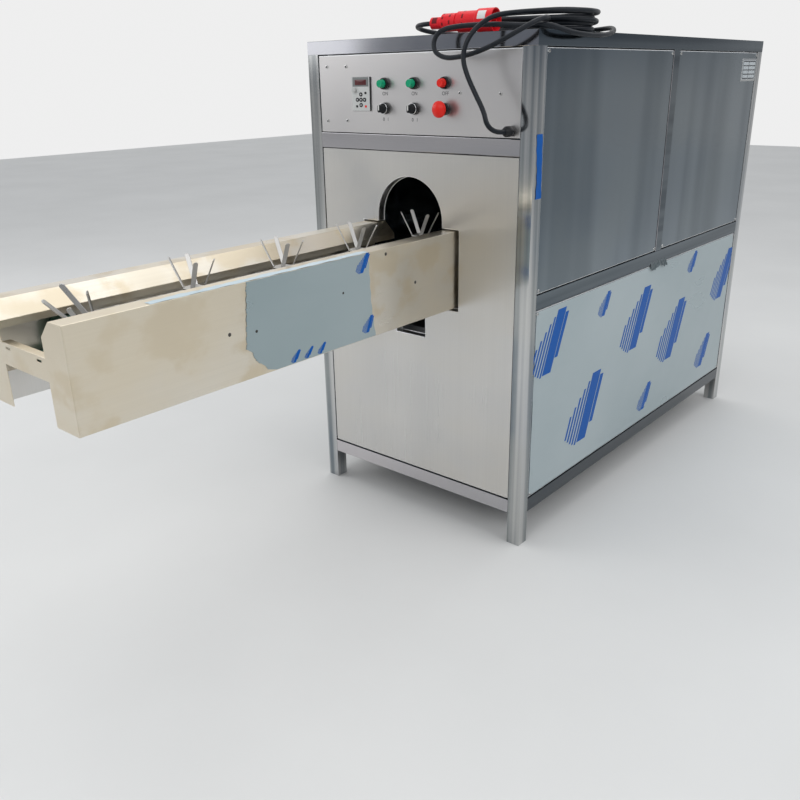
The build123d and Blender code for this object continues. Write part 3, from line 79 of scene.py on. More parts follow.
class Signal:
    """A value socket that takes part in Python expressions, each of which adds a Math node."""

    def __init__(self, nodes: "Nodes", socket: bpy.types.NodeSocket) -> None:
        """Wraps one output socket of a node tree."""
        self.nodes = nodes
        self.socket = socket

    def _maths(self, operation: str, *values: "Signal | float") -> "Signal":
        """Adds one Math node over the values and returns its result."""
        node = self.nodes.node("ShaderNodeMath", {"operation": operation}, dict(enumerate(values)))
        return Signal(self.nodes, node.outputs[0])

    def __add__(self, other: "Signal | float") -> "Signal":
        """Adds."""
        return self._maths("ADD", self, other)

    __radd__ = __add__

    def __sub__(self, other: "Signal | float") -> "Signal":
        """Subtracts."""
        return self._maths("SUBTRACT", self, other)

    def __rsub__(self, other: float) -> "Signal":
        """Subtracts this from a number."""
        return self._maths("SUBTRACT", other, self)

    def __mul__(self, other: "Signal | float") -> "Signal":
        """Multiplies."""
        return self._maths("MULTIPLY", self, other)

    __rmul__ = __mul__

    def above(self, edge: float, softness: float) -> "Signal":
        """Gives 0 below an edge and 1 above it, with a smooth step between.

        Args:
            edge: the step's middle.
            softness: the step's width.

        Returns:
            The step.
        """
        settings = {"interpolation_type": "SMOOTHSTEP"}
        inputs = {"Value": self, "From Min": edge - softness / 2, "From Max": edge + softness / 2}
        return Signal(self.nodes, self.nodes.node("ShaderNodeMapRange", settings, inputs).outputs[0])

    def between(self, low: float, high: float) -> "Signal":
        """Maps 0 to 1 onto a range of values."""
        return self * (high - low) + low


class Nodes:
    """A node tree, and the one way in which nodes are added to it."""

    def __init__(self, tree: bpy.types.NodeTree) -> None:
        """Takes over a tree and empties it."""
        self.tree = tree
        tree.nodes.clear()

    def node(self, kind: str, settings: dict, inputs: dict) -> bpy.types.Node:
        """Adds a node, sets its settings first and then its sockets.

        Args:
            kind: the node's type.
            settings: attributes of the node, or "stops" for a ramp, of which the first two are its own ends.
            inputs: values, sockets or signals by socket name or number.

        Returns:
            The new node.
        """
        node = self.tree.nodes.new(kind)
        for name, value in settings.items():
            if name == "stops":
                for index, (place, colour) in enumerate(value):
                    stop = node.color_ramp.elements[index] if index < 2 else node.color_ramp.elements.new(place)
                    stop.position = place
                    stop.color = (*colour, 1.0)
            else:
                setattr(node, name, value)
        self.feed(node, inputs)
        return node

    def feed(self, node: bpy.types.Node, inputs: dict) -> None:
        """Sets or links a node's sockets.

        Args:
            node: the node.
            inputs: values, sockets or signals by socket name or number. Three numbers fill a colour that wants four.
        """
        for key, value in inputs.items():
            socket = node.inputs[key]
            if isinstance(value, Signal):
                self.tree.links.new(value.socket, socket)
            elif isinstance(value, bpy.types.NodeSocket):
                self.tree.links.new(value, socket)
            else:
                socket.default_value = (*value, 1.0) if socket.type == "RGBA" and len(value) == 3 else value

    def mixed(self, factor: Signal, low: object, high: object) -> bpy.types.NodeSocket:
        """A colour between two, by a signal from 0 to 1."""
        return self.node("ShaderNodeMix", {"data_type": "RGBA"}, {0: factor, 6: low, 7: high}).outputs[2]


class Shader(Nodes):
    """One material and the nodes that feed its surface."""

    def __init__(self, name: str) -> None:
        """Starts a material with an empty Principled surface.

        Args:
            name: the material's name.
        """
        self.material = bpy.data.materials.new(name)
        self.material.use_nodes = True
        super().__init__(self.material.node_tree)
        self.surface = self.node("ShaderNodeBsdfPrincipled", {}, {})
        self.node("ShaderNodeOutputMaterial", {}, {"Surface": self.surface.outputs["BSDF"]})

    def noise(self, stretch: Triple, detail: float) -> Signal:
        """Noise over the object's own coordinates.

        Args:
            stretch: how many times it repeats in a metre along X, Y and Z.
            detail: how many finer layers it has.

        Returns:
            The noise, from 0 to 1.
        """
        coords = self.node("ShaderNodeTexCoord", {}, {}).outputs["Object"]
        mapped = self.node("ShaderNodeMapping", {}, {"Vector": coords, "Scale": stretch}).outputs[0]
        inputs = {"Vector": mapped, "Scale": 1.0, "Detail": detail}
        return Signal(self, self.node("ShaderNodeTexNoise", {}, inputs).outputs["Fac"])

    def bumped(self, height: Signal, distance: float, strength: float, under: object = None) -> bpy.types.NodeSocket:
        """A normal raised by a height signal.

        Args:
            height: the signal from 0 to 1.
            distance: how high 1 stands.
            strength: how much of it shows.
            under: the normal that it is raised over, where there is one.

        Returns:
            The new normal.
        """
        inputs = {"Height": height, "Distance": distance, "Strength": strength}
        if under is not None:
            inputs["Normal"] = under
        return self.node("ShaderNodeBump", {}, inputs).outputs["Normal"]

    def finished(self, inputs: dict) -> bpy.types.Material:
        """Feeds the surface and returns the material."""
        self.feed(self.surface, inputs)
        return self.material


def tinted(colour: Triple, share: Triple) -> Triple:
    """A colour with a share of each of its channels."""
    return tuple(channel * part for channel, part in zip(colour, share))


@dataclass(frozen=True)
class SteelFinish:
    """Stainless steel: its tone, how it was ground, how much it buckles, smears and stains, and how strong its
    painted reflection is: cool dark bands along the grain.
    """

    name: str
    tone: Triple
    roughness: float
    grain: Grain = Grain.NONE
    scratch: float = 0.06
    buckle: float = 0.0
    smear: float = 0.08
    warmth: float = 0.0
    painted_reflection: float = 0.0
    reflection_band: float = 7.0
    reflection_detail: float = 1.5
    stain: float = 0.0
    relief: float = 0.12
    mark_tone: float = 2.9
    mark_depth: float = 0.0002
    shade: float = 0.86
    gleam: float = 1.06
    reflection_cast: Triple = (0.34, 0.39, 0.43)
    tan_cast: Triple = (0.8, 0.72, 0.58)
    straw_cast: Triple = (1.0, 0.95, 0.84)

    def material(self) -> bpy.types.Material:
        """Makes steel whose roughness follows fine grinding marks and broad smears, over a gently buckled face.

        Returns:
            The material.
        """
        shader = Shader(self.name)
        marks = shader.noise(self.grain.value, detail=3.0)
        smears = shader.noise((2.6, 2.6, 3.4), detail=4.0)
        rough = (marks - 0.5) * self.scratch + (smears.above(0.52, 0.25) - 0.5) * self.smear + self.roughness
        normal = shader.bumped(marks, self.mark_depth, self.relief)
        if self.buckle:
            waves = shader.noise((2.1, 2.4, 1.9), detail=1.0)
            normal = shader.bumped(waves, distance=self.buckle, strength=0.6, under=normal)
        tone = self.toned(shader, marks, smears)
        return shader.finished({"Base Color": tone, "Metallic": 1.0, "Roughness": rough, "Normal": normal})

    def toned(self, shader: Shader, marks: Signal, smears: Signal) -> bpy.types.NodeSocket:
        """Clouds the tone, darkens it in the marks, and adds a painted reflection as cool dark bands along the grain,
        tan stains and straw-coloured smears.

        Args:
            shader: the material's nodes.
            marks: the grinding marks.
            smears: the broad smears.

        Returns:
            The colour's socket.
        """
        dark = tinted(self.tone, (self.shade,) * 3)
        light = tuple(min(1.0, channel * self.gleam) for channel in self.tone)
        tone = shader.mixed(shader.noise((1.1, 1.3, 1.7), detail=2.0).above(0.5, 0.5), dark, light)
        tone = shader.mixed(marks.above(0.5, 0.6) * (self.relief * self.mark_tone), tone, dark)
        # Painted reflection: cool dark bands along the grain stand in for dark surroundings mirrored in the polished
        # steel.
        if self.painted_reflection:
            stretch = tuple(min(scale * 0.4, self.reflection_band) for scale in self.grain.value)
            reflection_bands = shader.noise(stretch, self.reflection_detail)
            tone = shader.mixed(reflection_bands.above(0.52, 0.3) * self.painted_reflection, tone, tinted(self.tone, self.reflection_cast))
        if self.stain:
            blots = shader.noise((9.0, 8.0, 11.0), detail=9.0).above(0.55, 0.13)
            tone = shader.mixed(blots * self.stain, tone, tinted(self.tone, self.tan_cast))
        if self.warmth:
            straw = tinted(self.tone, self.straw_cast)
            tone = shader.mixed(smears.above(0.5, 0.3) * self.warmth, tone, straw)
        return tone


@dataclass(frozen=True)
class MouldedFinish:
    """Moulded plastic, rubber, print or a painted casting: a colour with a fine skin, a coat and dust."""

    name: str
    colour: Triple
    roughness: float
    skin: float = 0.0002
    skin_scale: float = 900.0
    coat: float = 0.0
    coat_roughness: float = 0.08
    dust: float = 0.12
    specular: float = 0.25

    def material(self) -> bpy.types.Material:
        """Makes a skin of fine pebbles with a little dust on it, and a coat where it was polished.

        Returns:
            The material.
        """
        shader = Shader(self.name)
        pebbles = shader.noise((self.skin_scale,) * 3, detail=2.0)
        dust = shader.noise((24.0, 24.0, 24.0), detail=5.0).above(0.55, 0.3)
        pale = tuple(channel * 0.7 + 0.22 for channel in self.colour)
        deep = tinted(self.colour, (0.82,) * 3)
        colour = shader.mixed(pebbles.above(0.5, 0.8), deep, self.colour)
        return shader.finished({
            "Base Color": shader.mixed(dust * self.dust, colour, pale),
            "Roughness": dust * 0.15 + (pebbles - 0.5) * 0.08 + self.roughness,
            "Normal": shader.bumped(pebbles, distance=self.skin, strength=0.25),
            "Coat Weight": self.coat,
            "Coat Roughness": self.coat_roughness,
            "Specular IOR Level": self.specular,
        })


@dataclass(frozen=True)
class FilmFinish:
    """Thin protective film on steel: milky, slightly wrinkled, with air under it in places."""

    name: str
    colour: Triple
    shine: float
    wrinkle: float
    milk: float
    specular: float = 0.5

    def material(self) -> bpy.types.Material:
        """Makes milky film that lets the steel shine through where it clings, with long wrinkles in it.

        Returns:
            The material.
        """
        shader = Shader(self.name)
        folds = shader.noise((5.0, 3.0, 8.0), detail=2.0)
        creases = shader.noise((30.0, 4.0, 16.0), detail=3.0)
        cling = shader.noise((1.6, 1.6, 2.0), detail=2.0).above(0.5, 0.5)
        pale = tuple(channel + (1.0 - channel) * self.milk for channel in self.colour)
        colour = shader.mixed(cling, pale, self.colour)
        normal = shader.bumped(folds, distance=self.wrinkle, strength=0.4)
        return shader.finished({
            "Base Color": shader.mixed(creases.above(0.6, 0.3) * 0.25, colour, pale),
            "Metallic": cling.between(self.shine * 0.6, self.shine),
            "Roughness": cling.between(0.36, 0.24) + creases * 0.06,
            "Normal": shader.bumped(creases, distance=self.wrinkle / 8, strength=0.3, under=normal),
            "Specular IOR Level": self.specular,
        })


def tube_finishes() -> list[SteelFinish]:
    """The polished square tubes: posts, rails in a dark copy that paints shade on them, the bottom rails in a darker
    shaded copy still, and a bright copy that paints light on the rails' faces to front and rear.

    Returns:
        The finishes.
    """
    tube = SteelFinish("polished_tube", (0.60, 0.61, 0.62), 0.13, Grain.ALONG_Z, scratch=0.05, buckle=0.004,
                       smear=0.06, warmth=0.3, painted_reflection=1.0, reflection_band=46.0)
    # The rails are copies of one tube steel with light and shade painted in: a dark shaded copy, a darker one for the
    # bottom rails, and a lit copy for the faces to front and rear.
    rail = replace(tube, name="polished_rail_painted_shade", tone=(0.16, 0.19, 0.215), grain=Grain.ALONG_Y, warmth=0.1, painted_reflection=0.7,
                   reflection_band=34.0)
    low = replace(rail, name="bottom_rail", tone=(0.10, 0.112, 0.125), roughness=0.15, painted_reflection=0.5, reflection_band=20.0)
    front = SteelFinish("front_rail_painted_light", (0.66, 0.635, 0.655), 0.13, Grain.ALONG_X, scratch=0.03, buckle=0.003,
                        smear=0.03, warmth=0.1, painted_reflection=0.6, reflection_band=5.0, reflection_detail=0.0, relief=0.04)
    return [tube, rail, low, front]


def sheet_finishes() -> list[SteelFinish]:
    """The sheets: mirror sides whose tone is darkened to paint in the reflection of dark surroundings, satin front,
    lid, control panel, the conveyor's covers, and folds with a painted highlight.

    Returns:
        The finishes.
    """
    return [
        # Painted reflection: the panels' tone is darkened to stand in for dark surroundings mirrored in them.
        SteelFinish("panel_sheet_painted_reflection", (0.245, 0.288, 0.325), 0.15, Grain.ALONG_Z, scratch=0.05, buckle=0.006,
                    smear=0.06, warmth=0.25, painted_reflection=0.55, reflection_band=8.0),
        SteelFinish("satin_sheet", (0.70, 0.69, 0.675), 0.34, Grain.ALONG_Z, scratch=0.1, buckle=0.003, smear=0.1,
                    warmth=0.3, painted_reflection=0.1, reflection_band=4.0),
        SteelFinish("lid_sheet", (0.5, 0.505, 0.51), 0.3, Grain.ALONG_Y, buckle=0.003, warmth=0.1, painted_reflection=0.15,
                    reflection_band=3.0),
        SteelFinish("control_sheet", (0.71, 0.69, 0.685), 0.33, Grain.ALONG_X, scratch=0.02, buckle=0.002,
                    smear=0.05, warmth=0.1, relief=0.01),
        SteelFinish("cover_sheet", (0.76, 0.71, 0.62), 0.36, Grain.ALONG_Y, scratch=0.1, buckle=0.003, smear=0.14,
                    warmth=0.7, stain=0.75),
        # Painted highlight: near-white steel on the panels' rounded folds stands in for the light that they catch.
        SteelFinish("fold_painted_highlight", (0.95, 0.96, 0.97), 0.48, scratch=0.04),
    ]


def metal_finishes() -> list[SteelFinish]:
    """The small metal parts, and those inside the cabinet.

    Returns:
        The finishes.
    """
    return [
        SteelFinish("mill_steel", (0.55, 0.55, 0.56), 0.36, scratch=0.12),
        SteelFinish("chain_steel", (0.42, 0.42, 0.42), 0.34, scratch=0.16, smear=0.2, warmth=0.5),
        SteelFinish("holder_steel", (0.52, 0.51, 0.49), 0.42, Grain.ALONG_Z, scratch=0.12),
        SteelFinish("ground_blade", (0.74, 0.74, 0.75), 0.16, scratch=0.1),
        SteelFinish("screw_steel", (0.6, 0.6, 0.59), 0.24, scratch=0.1),
        SteelFinish("bezel_chrome", (0.76, 0.76, 0.77), 0.1, scratch=0.04),
        SteelFinish("cast_alloy", (0.5, 0.51, 0.53), 0.46, scratch=0.1),
        SteelFinish("plate_metal", (0.55, 0.56, 0.56), 0.3, scratch=0.08),
    ]


def moulded_finishes() -> list[MouldedFinish]:
    """The plastics, rubbers and paints, and the thin prints that share one fine skin.

    Returns:
        The finishes.
    """
    black = (0.008, 0.009, 0.011)
    thin = MouldedFinish("white_print", (0.78, 0.78, 0.76), 0.5, skin=0.00002, dust=0.04)
    return [
        MouldedFinish("wear_strip", (0.8, 0.8, 0.77), 0.45),
        MouldedFinish("painted_casting", (0.06, 0.17, 0.13), 0.42, skin=0.0006, skin_scale=260.0),
        MouldedFinish("motor_paint", (0.05, 0.15, 0.28), 0.38, skin=0.0004, skin_scale=300.0),
        MouldedFinish("press_cup", (0.82, 0.82, 0.79), 0.4),
        MouldedFinish("black_plastic", black, 0.36, dust=0.03),
        MouldedFinish("bezel_black", black, 0.2, skin=0.0001, coat=0.15, dust=0.02),
        MouldedFinish("green_cap", (0.0, 0.34, 0.165), 0.3, skin=0.00005, coat=0.12, dust=0.0),
        MouldedFinish("red_cap", (0.78, 0.016, 0.008), 0.32, skin=0.00005, coat=0.1, dust=0.0),
        MouldedFinish("grey_stem", (0.12, 0.12, 0.12), 0.4),
        MouldedFinish("cord_rubber", (0.007, 0.010, 0.015), 0.36, skin=0.0003, skin_scale=500.0, dust=0.02),
        MouldedFinish("plug_red", (0.8, 0.012, 0.022), 0.4, skin_scale=600.0, coat=0.05, dust=0.02),
        # Painted shade: dark red patches stand in for the shade in the plug's slots and notches.
        MouldedFinish("plug_slot_painted_shade", (0.16, 0.004, 0.008), 0.5, skin_scale=600.0, dust=0.02),
        MouldedFinish("keypad_membrane", (0.6, 0.61, 0.6), 0.42, skin=0.00004, coat=0.1),
        MouldedFinish("display_window", (0.09, 0.01, 0.012), 0.12, skin=0.00001, coat=0.8, dust=0.0),
        thin,
        replace(thin, name="black_print", colour=(0.03, 0.03, 0.035), roughness=0.55, dust=0.02),
        # Painted shade: near-black discs stand in for the shade inside the screws' driver sockets.
        replace(thin, name="painted_socket_shade", colour=(0.02, 0.02, 0.02), roughness=0.6, dust=0.1),
        replace(thin, name="fastener_mark", colour=(0.05, 0.045, 0.04), roughness=0.6, dust=0.1),
        replace(thin, name="plate_field", colour=(0.5, 0.54, 0.56), roughness=0.4, dust=0.1),
        replace(thin, name="key_centre", colour=(0.5, 0.5, 0.5), roughness=0.5, dust=0.02),
        replace(thin, name="display_surround", colour=(0.2, 0.21, 0.21), roughness=0.4, dust=0.02),
    ]


def film_finishes() -> list[FilmFinish]:
    """The protective films and the ink on them.

    Returns:
        The finishes.
    """
    return [
        FilmFinish("panel_film", (0.36, 0.43, 0.45), shine=0.3, wrinkle=0.0012, milk=0.1),
        FilmFinish("cover_film", (0.30, 0.37, 0.385), shine=0.4, wrinkle=0.0012, milk=0.08),
        FilmFinish("flange_film", (0.46, 0.58, 0.64), shine=0.15, wrinkle=0.001, milk=0.2),
        FilmFinish("film_scrap", (0.10, 0.13, 0.14), shine=0.6, wrinkle=0.002, milk=0.05),
        FilmFinish("film_ink", (0.0, 0.088, 0.37), shine=0.0, wrinkle=0.0004, milk=0.01, specular=0.12),
    ]


class Finishes:
    """Every material of the machine, made once and looked up by its name, its slot or its node."""

    by_slot = {
        "frame_steel": "polished_rail_painted_shade",
        "panel_steel": "panel_sheet_painted_reflection",
        "cover_steel": "cover_sheet",
        "screws": "screw_steel",
        "inner_steel": "mill_steel",
        "chain_steel": "chain_steel",
        "holder_steel": "holder_steel",
        "guide_plastic": "wear_strip",
        "bearing_iron": "painted_casting",
        "gear_case": "cast_alloy",
        "motor_paint": "motor_paint",
        "blade_steel": "ground_blade",
        "air_parts": "cast_alloy",
        "press_parts": "press_cup",
        "device_black": "black_plastic",
        "bezel_chrome": "bezel_chrome",
        "button_green": "green_cap",
        "button_red": "red_cap",
        "stem_grey": "grey_stem",
        "gland_black": "black_plastic",
        "cord_rubber": "cord_rubber",
        "plug_red": "plug_red",
    }
    by_node = {
        "corner_posts": "polished_tube",
        "station_hangers": "polished_tube",
        "front_panel": "satin_sheet",
        "control_panel": "control_sheet",
        "switch_bodies": "bezel_black",
        "keypad_knob": "keypad_membrane",
        "bottom_rails": "bottom_rail",
        "top_cover": "lid_sheet",
        "discharge_chute": "satin_sheet",
        "conveyor_arms": "satin_sheet",
    }

    def __init__(self) -> None:
        """Makes the materials."""
        steels = [*tube_finishes(), *sheet_finishes(), *metal_finishes()]
        self.made = {finish.name: finish.material() for finish in (*steels, *moulded_finishes(), *film_finishes())}

    def __getitem__(self, name: str) -> bpy.types.Material:
        """The material of that name."""
        return self.made[name]

    def of(self, node: str, slot: str) -> bpy.types.Material:
        """The material of a node, by its own name or else its slot."""
        return self[self.by_node.get(node, self.by_slot[slot])]


class Catalogue:
    """What the record says of each node: its slot and the body that carries it."""

    def __init__(self, record: dict) -> None:
        """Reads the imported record.

        Args:
            record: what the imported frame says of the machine.
        """
        self.slots = {part["node"]: part["material_slot"] for part in record["subparts"]}
        bodies = record["behaviour"]["bodies"]
        self.bodies = {node: body for body, nodes in bodies.items() for node in nodes}
        self.root = max(bodies, key=lambda body: len(bodies[body]))


def put_in_scene(name: str, data: bpy.types.ID) -> bpy.types.Object:
    """Makes an object at the origin and links it to the scene.

    Args:
        name: the object's name.
        data: its mesh, curve, lamp or camera.

    Returns:
        The new object.
    """
    thing = bpy.data.objects.new(name, data)
    bpy.context.scene.collection.objects.link(thing)
    return thing


def new_piece(
    name: str, points: np.ndarray, faces: Sequence[Sequence[int]], finish: bpy.types.Material, smooth: bool = True
) -> bpy.types.Object:
    """Makes an object from arrays of points and faces, at the origin.

    Args:
        name: the piece's name.
        points: N by 3 places.
        faces: corner numbers of each face.
        finish: its material.
        smooth: whether faces are shaded smoothly.

    Returns:
        The new object.
    """
    mesh = bpy.data.meshes.new(name)
    mesh.from_pydata(points.tolist(), [], [list(face) for face in faces])
    mesh.materials.append(finish)
    mesh.polygons.foreach_set("use_smooth", np.full(len(mesh.polygons), smooth))
    mesh.update()
    return put_in_scene(name, mesh)


def grid_faces(rows: int, columns: int, ringed: bool = False) -> np.ndarray:
    """Corner numbers of the quads of a grid of points, row by row.

    Args:
        rows: number of rows of points.
        columns: number of points in a row.
        ringed: whether a row's last point joins its first.

    Returns:
        An array of quads.
    """
    row, column = np.meshgrid(np.arange(rows - 1), np.arange(columns if ringed else columns - 1), indexing="ij")
    row, column = row.ravel(), column.ravel()
    beside = (column + 1) % columns
    corners = (row * columns + column, row * columns + beside, (row + 1) * columns + beside)
    return np.stack((*corners, (row + 1) * columns + column), axis=1)


def close_and_point_out(piece: bpy.types.Object) -> None:
    """Merges doubled points and turns every face outwards.

    Args:
        piece: the piece, which is closed once its points are merged.
    """
    shell = bmesh.new()
    shell.from_mesh(piece.data)
    bmesh.ops.remove_doubles(shell, verts=shell.verts, dist=MERGE_WITHIN)
    bmesh.ops.recalc_face_normals(shell, faces=shell.faces)
    shell.to_mesh(piece.data)
    shell.free()


def grid_piece(
    name: str, x: np.ndarray, y: np.ndarray, z: np.ndarray, finish: bpy.types.Material, ringed: bool = False
) -> bpy.types.Object:
    """Makes a surface through a grid of places.

    Args:
        name: the piece's name.
        x: the places' X, row by row.
        y: their Y, in a shape that spreads over the same grid.
        z: their Z, likewise.
        finish: its material.
        ringed: whether each row is a ring, so that the surface is merged and pointed outwards.

    Returns:
        The new object.
    """
    grid = np.stack(np.broadcast_arrays(x, y, z), axis=-1)
    piece = new_piece(name, grid.reshape(-1, 3), grid_faces(*grid.shape[:2], ringed), finish)
    if ringed:
        close_and_point_out(piece)
    return piece


def turned_piece(
    name: str, profile: Sequence[tuple[float, float]], centre: Sequence[float], finish: bpy.types.Material
) -> bpy.types.Object:
    """Makes a turned piece whose axis runs forwards out of the control panel.

    A point is centre + radius * (cos a, 0, sin a) - depth * (0, 1, 0), over the profile and the angle a.

    Args:
        name: the piece's name.
        profile: radius and depth in front of the centre, from the back to the front middle.
        centre: the place where depth is nothing.
        finish: its material.

    Returns:
        The new object.
    """
    radius, depth = np.array(profile).T[:, :, None]
    angle = np.linspace(0, 2 * math.pi, TURNED_SIDES, endpoint=False)
    x = centre[0] + radius * np.cos(angle)
    z = centre[2] + radius * np.sin(angle)
    return grid_piece(name, x, centre[1] - depth, z, finish, ringed=True)


def rounded_outline(width: float, height: float, corner: float) -> np.ndarray:
    """Works out a rounded rectangle round the origin: each corner is an arc centred the corner radius inside it.

    Args:
        width: its size across.
        height: its size up.
        corner: the corners' radius.

    Returns:
        Places across and up, once round.
    """
    turns = np.linspace(0, math.pi / 2, CORNER_POINTS)
    arcs = []
    for index, (side_x, side_y) in enumerate(((1, 1), (-1, 1), (-1, -1), (1, -1))):
        angle = turns + index * math.pi / 2
        middle = (side_x * (width / 2 - corner), side_y * (height / 2 - corner))
        arcs.append(np.stack((middle[0] + corner * np.cos(angle), middle[1] + corner * np.sin(angle)), axis=1))
    return np.concatenate(arcs)


@dataclass(frozen=True)
class Pad:
    """A rounded pad: its width, height and depth, its corners' radius and how far its front rim is rounded over."""

    width: float
    height: float
    depth: float
    corner: float
    rise: float
    rim_points: int = 4

    def rings(self) -> tuple[np.ndarray, np.ndarray]:
        """Works out outlines that shrink as they are carried forwards, closed by their middle.

        Over a quarter turn a, the outline is inset by rise * (1 - cos a) at depth - rise + rise * sin a.

        Returns:
            Places across and up by ring and point, and the depth of each ring.
        """
        turns = np.linspace(0, math.pi / 2, self.rim_points)
        insets = np.array([0.0, *(self.rise * (1 - np.cos(turns))), min(self.width, self.height) / 2])
        depths = np.array([0.0, *(self.depth - self.rise + self.rise * np.sin(turns)), self.depth])
        shrink = np.stack((1 - 2 * insets / self.width, 1 - 2 * insets / self.height), axis=1)
        shrink[-1] = 0.0
        return rounded_outline(self.width, self.height, self.corner) * shrink[:, None], depths[:, None]


@dataclass(frozen=True)
class Dresser:
    """What every sub-assembly of the looks works from: the record's catalogue and the finishes."""

    catalogue: Catalogue
    finishes: Finishes

    def keep(self, piece: bpy.types.Object, slot: str, body: str | None = None) -> None:
        """Seats a piece on a body.

        Args:
            piece: the piece.
            slot: the record's slot that it takes its finish from; not used.
            body: the body that carries it, or none for the machine itself.
        """
        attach(piece, body or self.catalogue.root)
        LOG.info("%s rides on %s", piece.name, body or self.catalogue.root)


class Skin(Enum):
    """How a solid's skin is finished: folded sheet and tube with soft corners, or turned and cast rounds."""

    FOLDED = "folded"
    ROUND = "round"


@dataclass(frozen=True)
class MachineSkin(Dresser):
    """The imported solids, redone as merged skins that stand for them. Angles are in degrees."""

    rails: tuple[str, ...] = ("top_rails", "middle_rails", "bottom_rails")
    tubes: tuple[str, ...] = ("corner_posts", "conveyor_arms", "station_hangers")
    sheets: tuple[str, ...] = (
        "panel_stops", "top_cover", "control_panel", "front_panel", "right_front_panel", "right_rear_panel",
        "right_lower_panel", "left_front_panel", "left_rear_panel", "left_lower_panel", "rear_upper_panel",
        "rear_lower_panel", "right_side_cover", "left_side_cover", "conveyor_end_plate", "arm_ties", "chain_guide",
        "discharge_chute", "waste_chute", "switchgear_plate", "upper_holders", "lower_holders",
    )
    tube_edge: float = 0.0015
    sheet_edge: float = 0.0016
    panel_edge: float = 0.0024
    edge_segments: int = 2
    thin_share: float = 0.25
    thin_width: float = 0.004
    flat_angle: float = 0.6
    sharp_angle: float = 34.0
    lit_copy_facing: float = 0.7

    def dress_all(self, left_out: set[str]) -> None:
        """Gives every node its material, and a skin unless it is left out.

        Args:
            left_out: nodes that keep their own mesh or that another piece replaces.
        """
        for node, solid in frame["nodes"].items():
            slot = self.catalogue.slots[node]
            finish = self.finishes.of(node, slot)
            solid.data.materials.clear()
            solid.data.materials.append(finish)
            if node not in left_out:
                self.soften(node, solid, finish, slot)

    def soften(self, node: str, solid: bpy.types.Object, finish: bpy.types.Material, slot: str) -> None:
        """Stands a merged copy in for a solid: folded ones get soft corners, round ones smooth faces.

        Args:
            node: the solid's name.
            solid: its object.
            finish: its material.
            slot: its slot.
        """
        kind = Skin.FOLDED if node in (*self.rails, *self.tubes, *self.sheets) else Skin.ROUND
        skin = put_in_scene(node + "_skin", self.merged(node, solid, finish, kind))
        if kind is Skin.FOLDED:
            self.round_folds(skin, node, slot)
        else:
            skin.data.set_sharp_from_angle(angle=math.radians(self.sharp_angle))
        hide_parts(node)
        self.keep(skin, slot, self.catalogue.bodies[node])

    def merged(
        self, node: str, solid: bpy.types.Object, finish: bpy.types.Material, kind: Skin
    ) -> bpy.types.Mesh:
        """Copies a solid's mesh and merges its loose triangles, with a second material: painted light on the rails'
        faces to front and rear, as a lit copy of their steel, and a painted highlight on folds.

        Args:
            node: the solid's name.
            solid: its object.
            finish: its material.
            kind: how it is finished.

        Returns:
            The new mesh.
        """
        mesh = solid.data.copy()
        mesh.name = node + "_skin"
        shell = bmesh.new()
        shell.from_mesh(mesh)
        bmesh.ops.remove_doubles(shell, verts=shell.verts, dist=MERGE_WITHIN)
        if kind is Skin.FOLDED:
            flat = math.radians(self.flat_angle)
            bmesh.ops.dissolve_limit(shell, angle_limit=flat, verts=shell.verts, edges=shell.edges)
            self.weigh(shell)
        for face in shell.faces:
            face.smooth = kind is Skin.ROUND
            # The rails' faces to front and rear take the lit copy of their steel, which paints light on them.
            face.material_index = int(node in self.rails and abs(face.normal.y) > self.lit_copy_facing)
        # The materials come before to_mesh, because clearing them sets the faces' numbers back.
        mesh.materials.clear()
        mesh.materials.append(finish)
        # The second material paints light: the rails' lit copy, or the highlight on folds.
        mesh.materials.append(self.finishes["front_rail_painted_light" if node in self.rails else "fold_painted_highlight"])
        shell.to_mesh(mesh)
        shell.free()
        return mesh

    def weigh(self, shell: bmesh.types.BMesh) -> None:
        """Gives folds between two wide faces their full radius, and the other sharp edges a small share of it.

        Args:
            shell: the merged mesh.
        """
        layer = shell.edges.layers.float.new("bevel_weight_edge")
        sharp = math.radians(self.sharp_angle)
        for edge in shell.edges:
            if len(edge.link_faces) == 2 and edge.calc_face_angle(0.0) > sharp:
                width = min(face.calc_area() / max(edge.calc_length(), MERGE_WITHIN) for face in edge.link_faces)
                edge[layer] = 1.0 if edge.is_convex and width > self.thin_width else self.thin_share

    def round_folds(self, skin: bpy.types.Object, node: str, slot: str) -> None:
        """Rounds the weighted edges, makes that part of the mesh and holds every point within the node's own box.

        Args:
            skin: the folded skin.
            node: the solid that it stands for.
            slot: its slot. Panels have wider folds, in the second material, which paints a highlight on them.
        """
        bevel = skin.modifiers.new("soft_edges", "BEVEL")
        bevel.width = self.tube_edge if node in (*self.rails, *self.tubes) else self.sheet_edge
        bevel.segments = self.edge_segments
        bevel.limit_method = "WEIGHT"
        if slot == "panel_steel":
            bevel.width = self.panel_edge
            bevel.use_clamp_overlap = False
            # The panels' folds take the painted highlight.
            bevel.material = 1
        bpy.context.view_layer.update()
        mesh = bpy.data.meshes.new_from_object(skin.evaluated_get(bpy.context.evaluated_depsgraph_get()))
        skin.modifiers.clear()
        places = np.empty(len(mesh.vertices) * 3, dtype=np.float32)
        mesh.vertices.foreach_get("co", places)
        low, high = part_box(node)
        mesh.vertices.foreach_set("co", np.clip(places.reshape(-1, 3), tuple(low), tuple(high)).ravel())
        mesh.update()
        skin.data = mesh


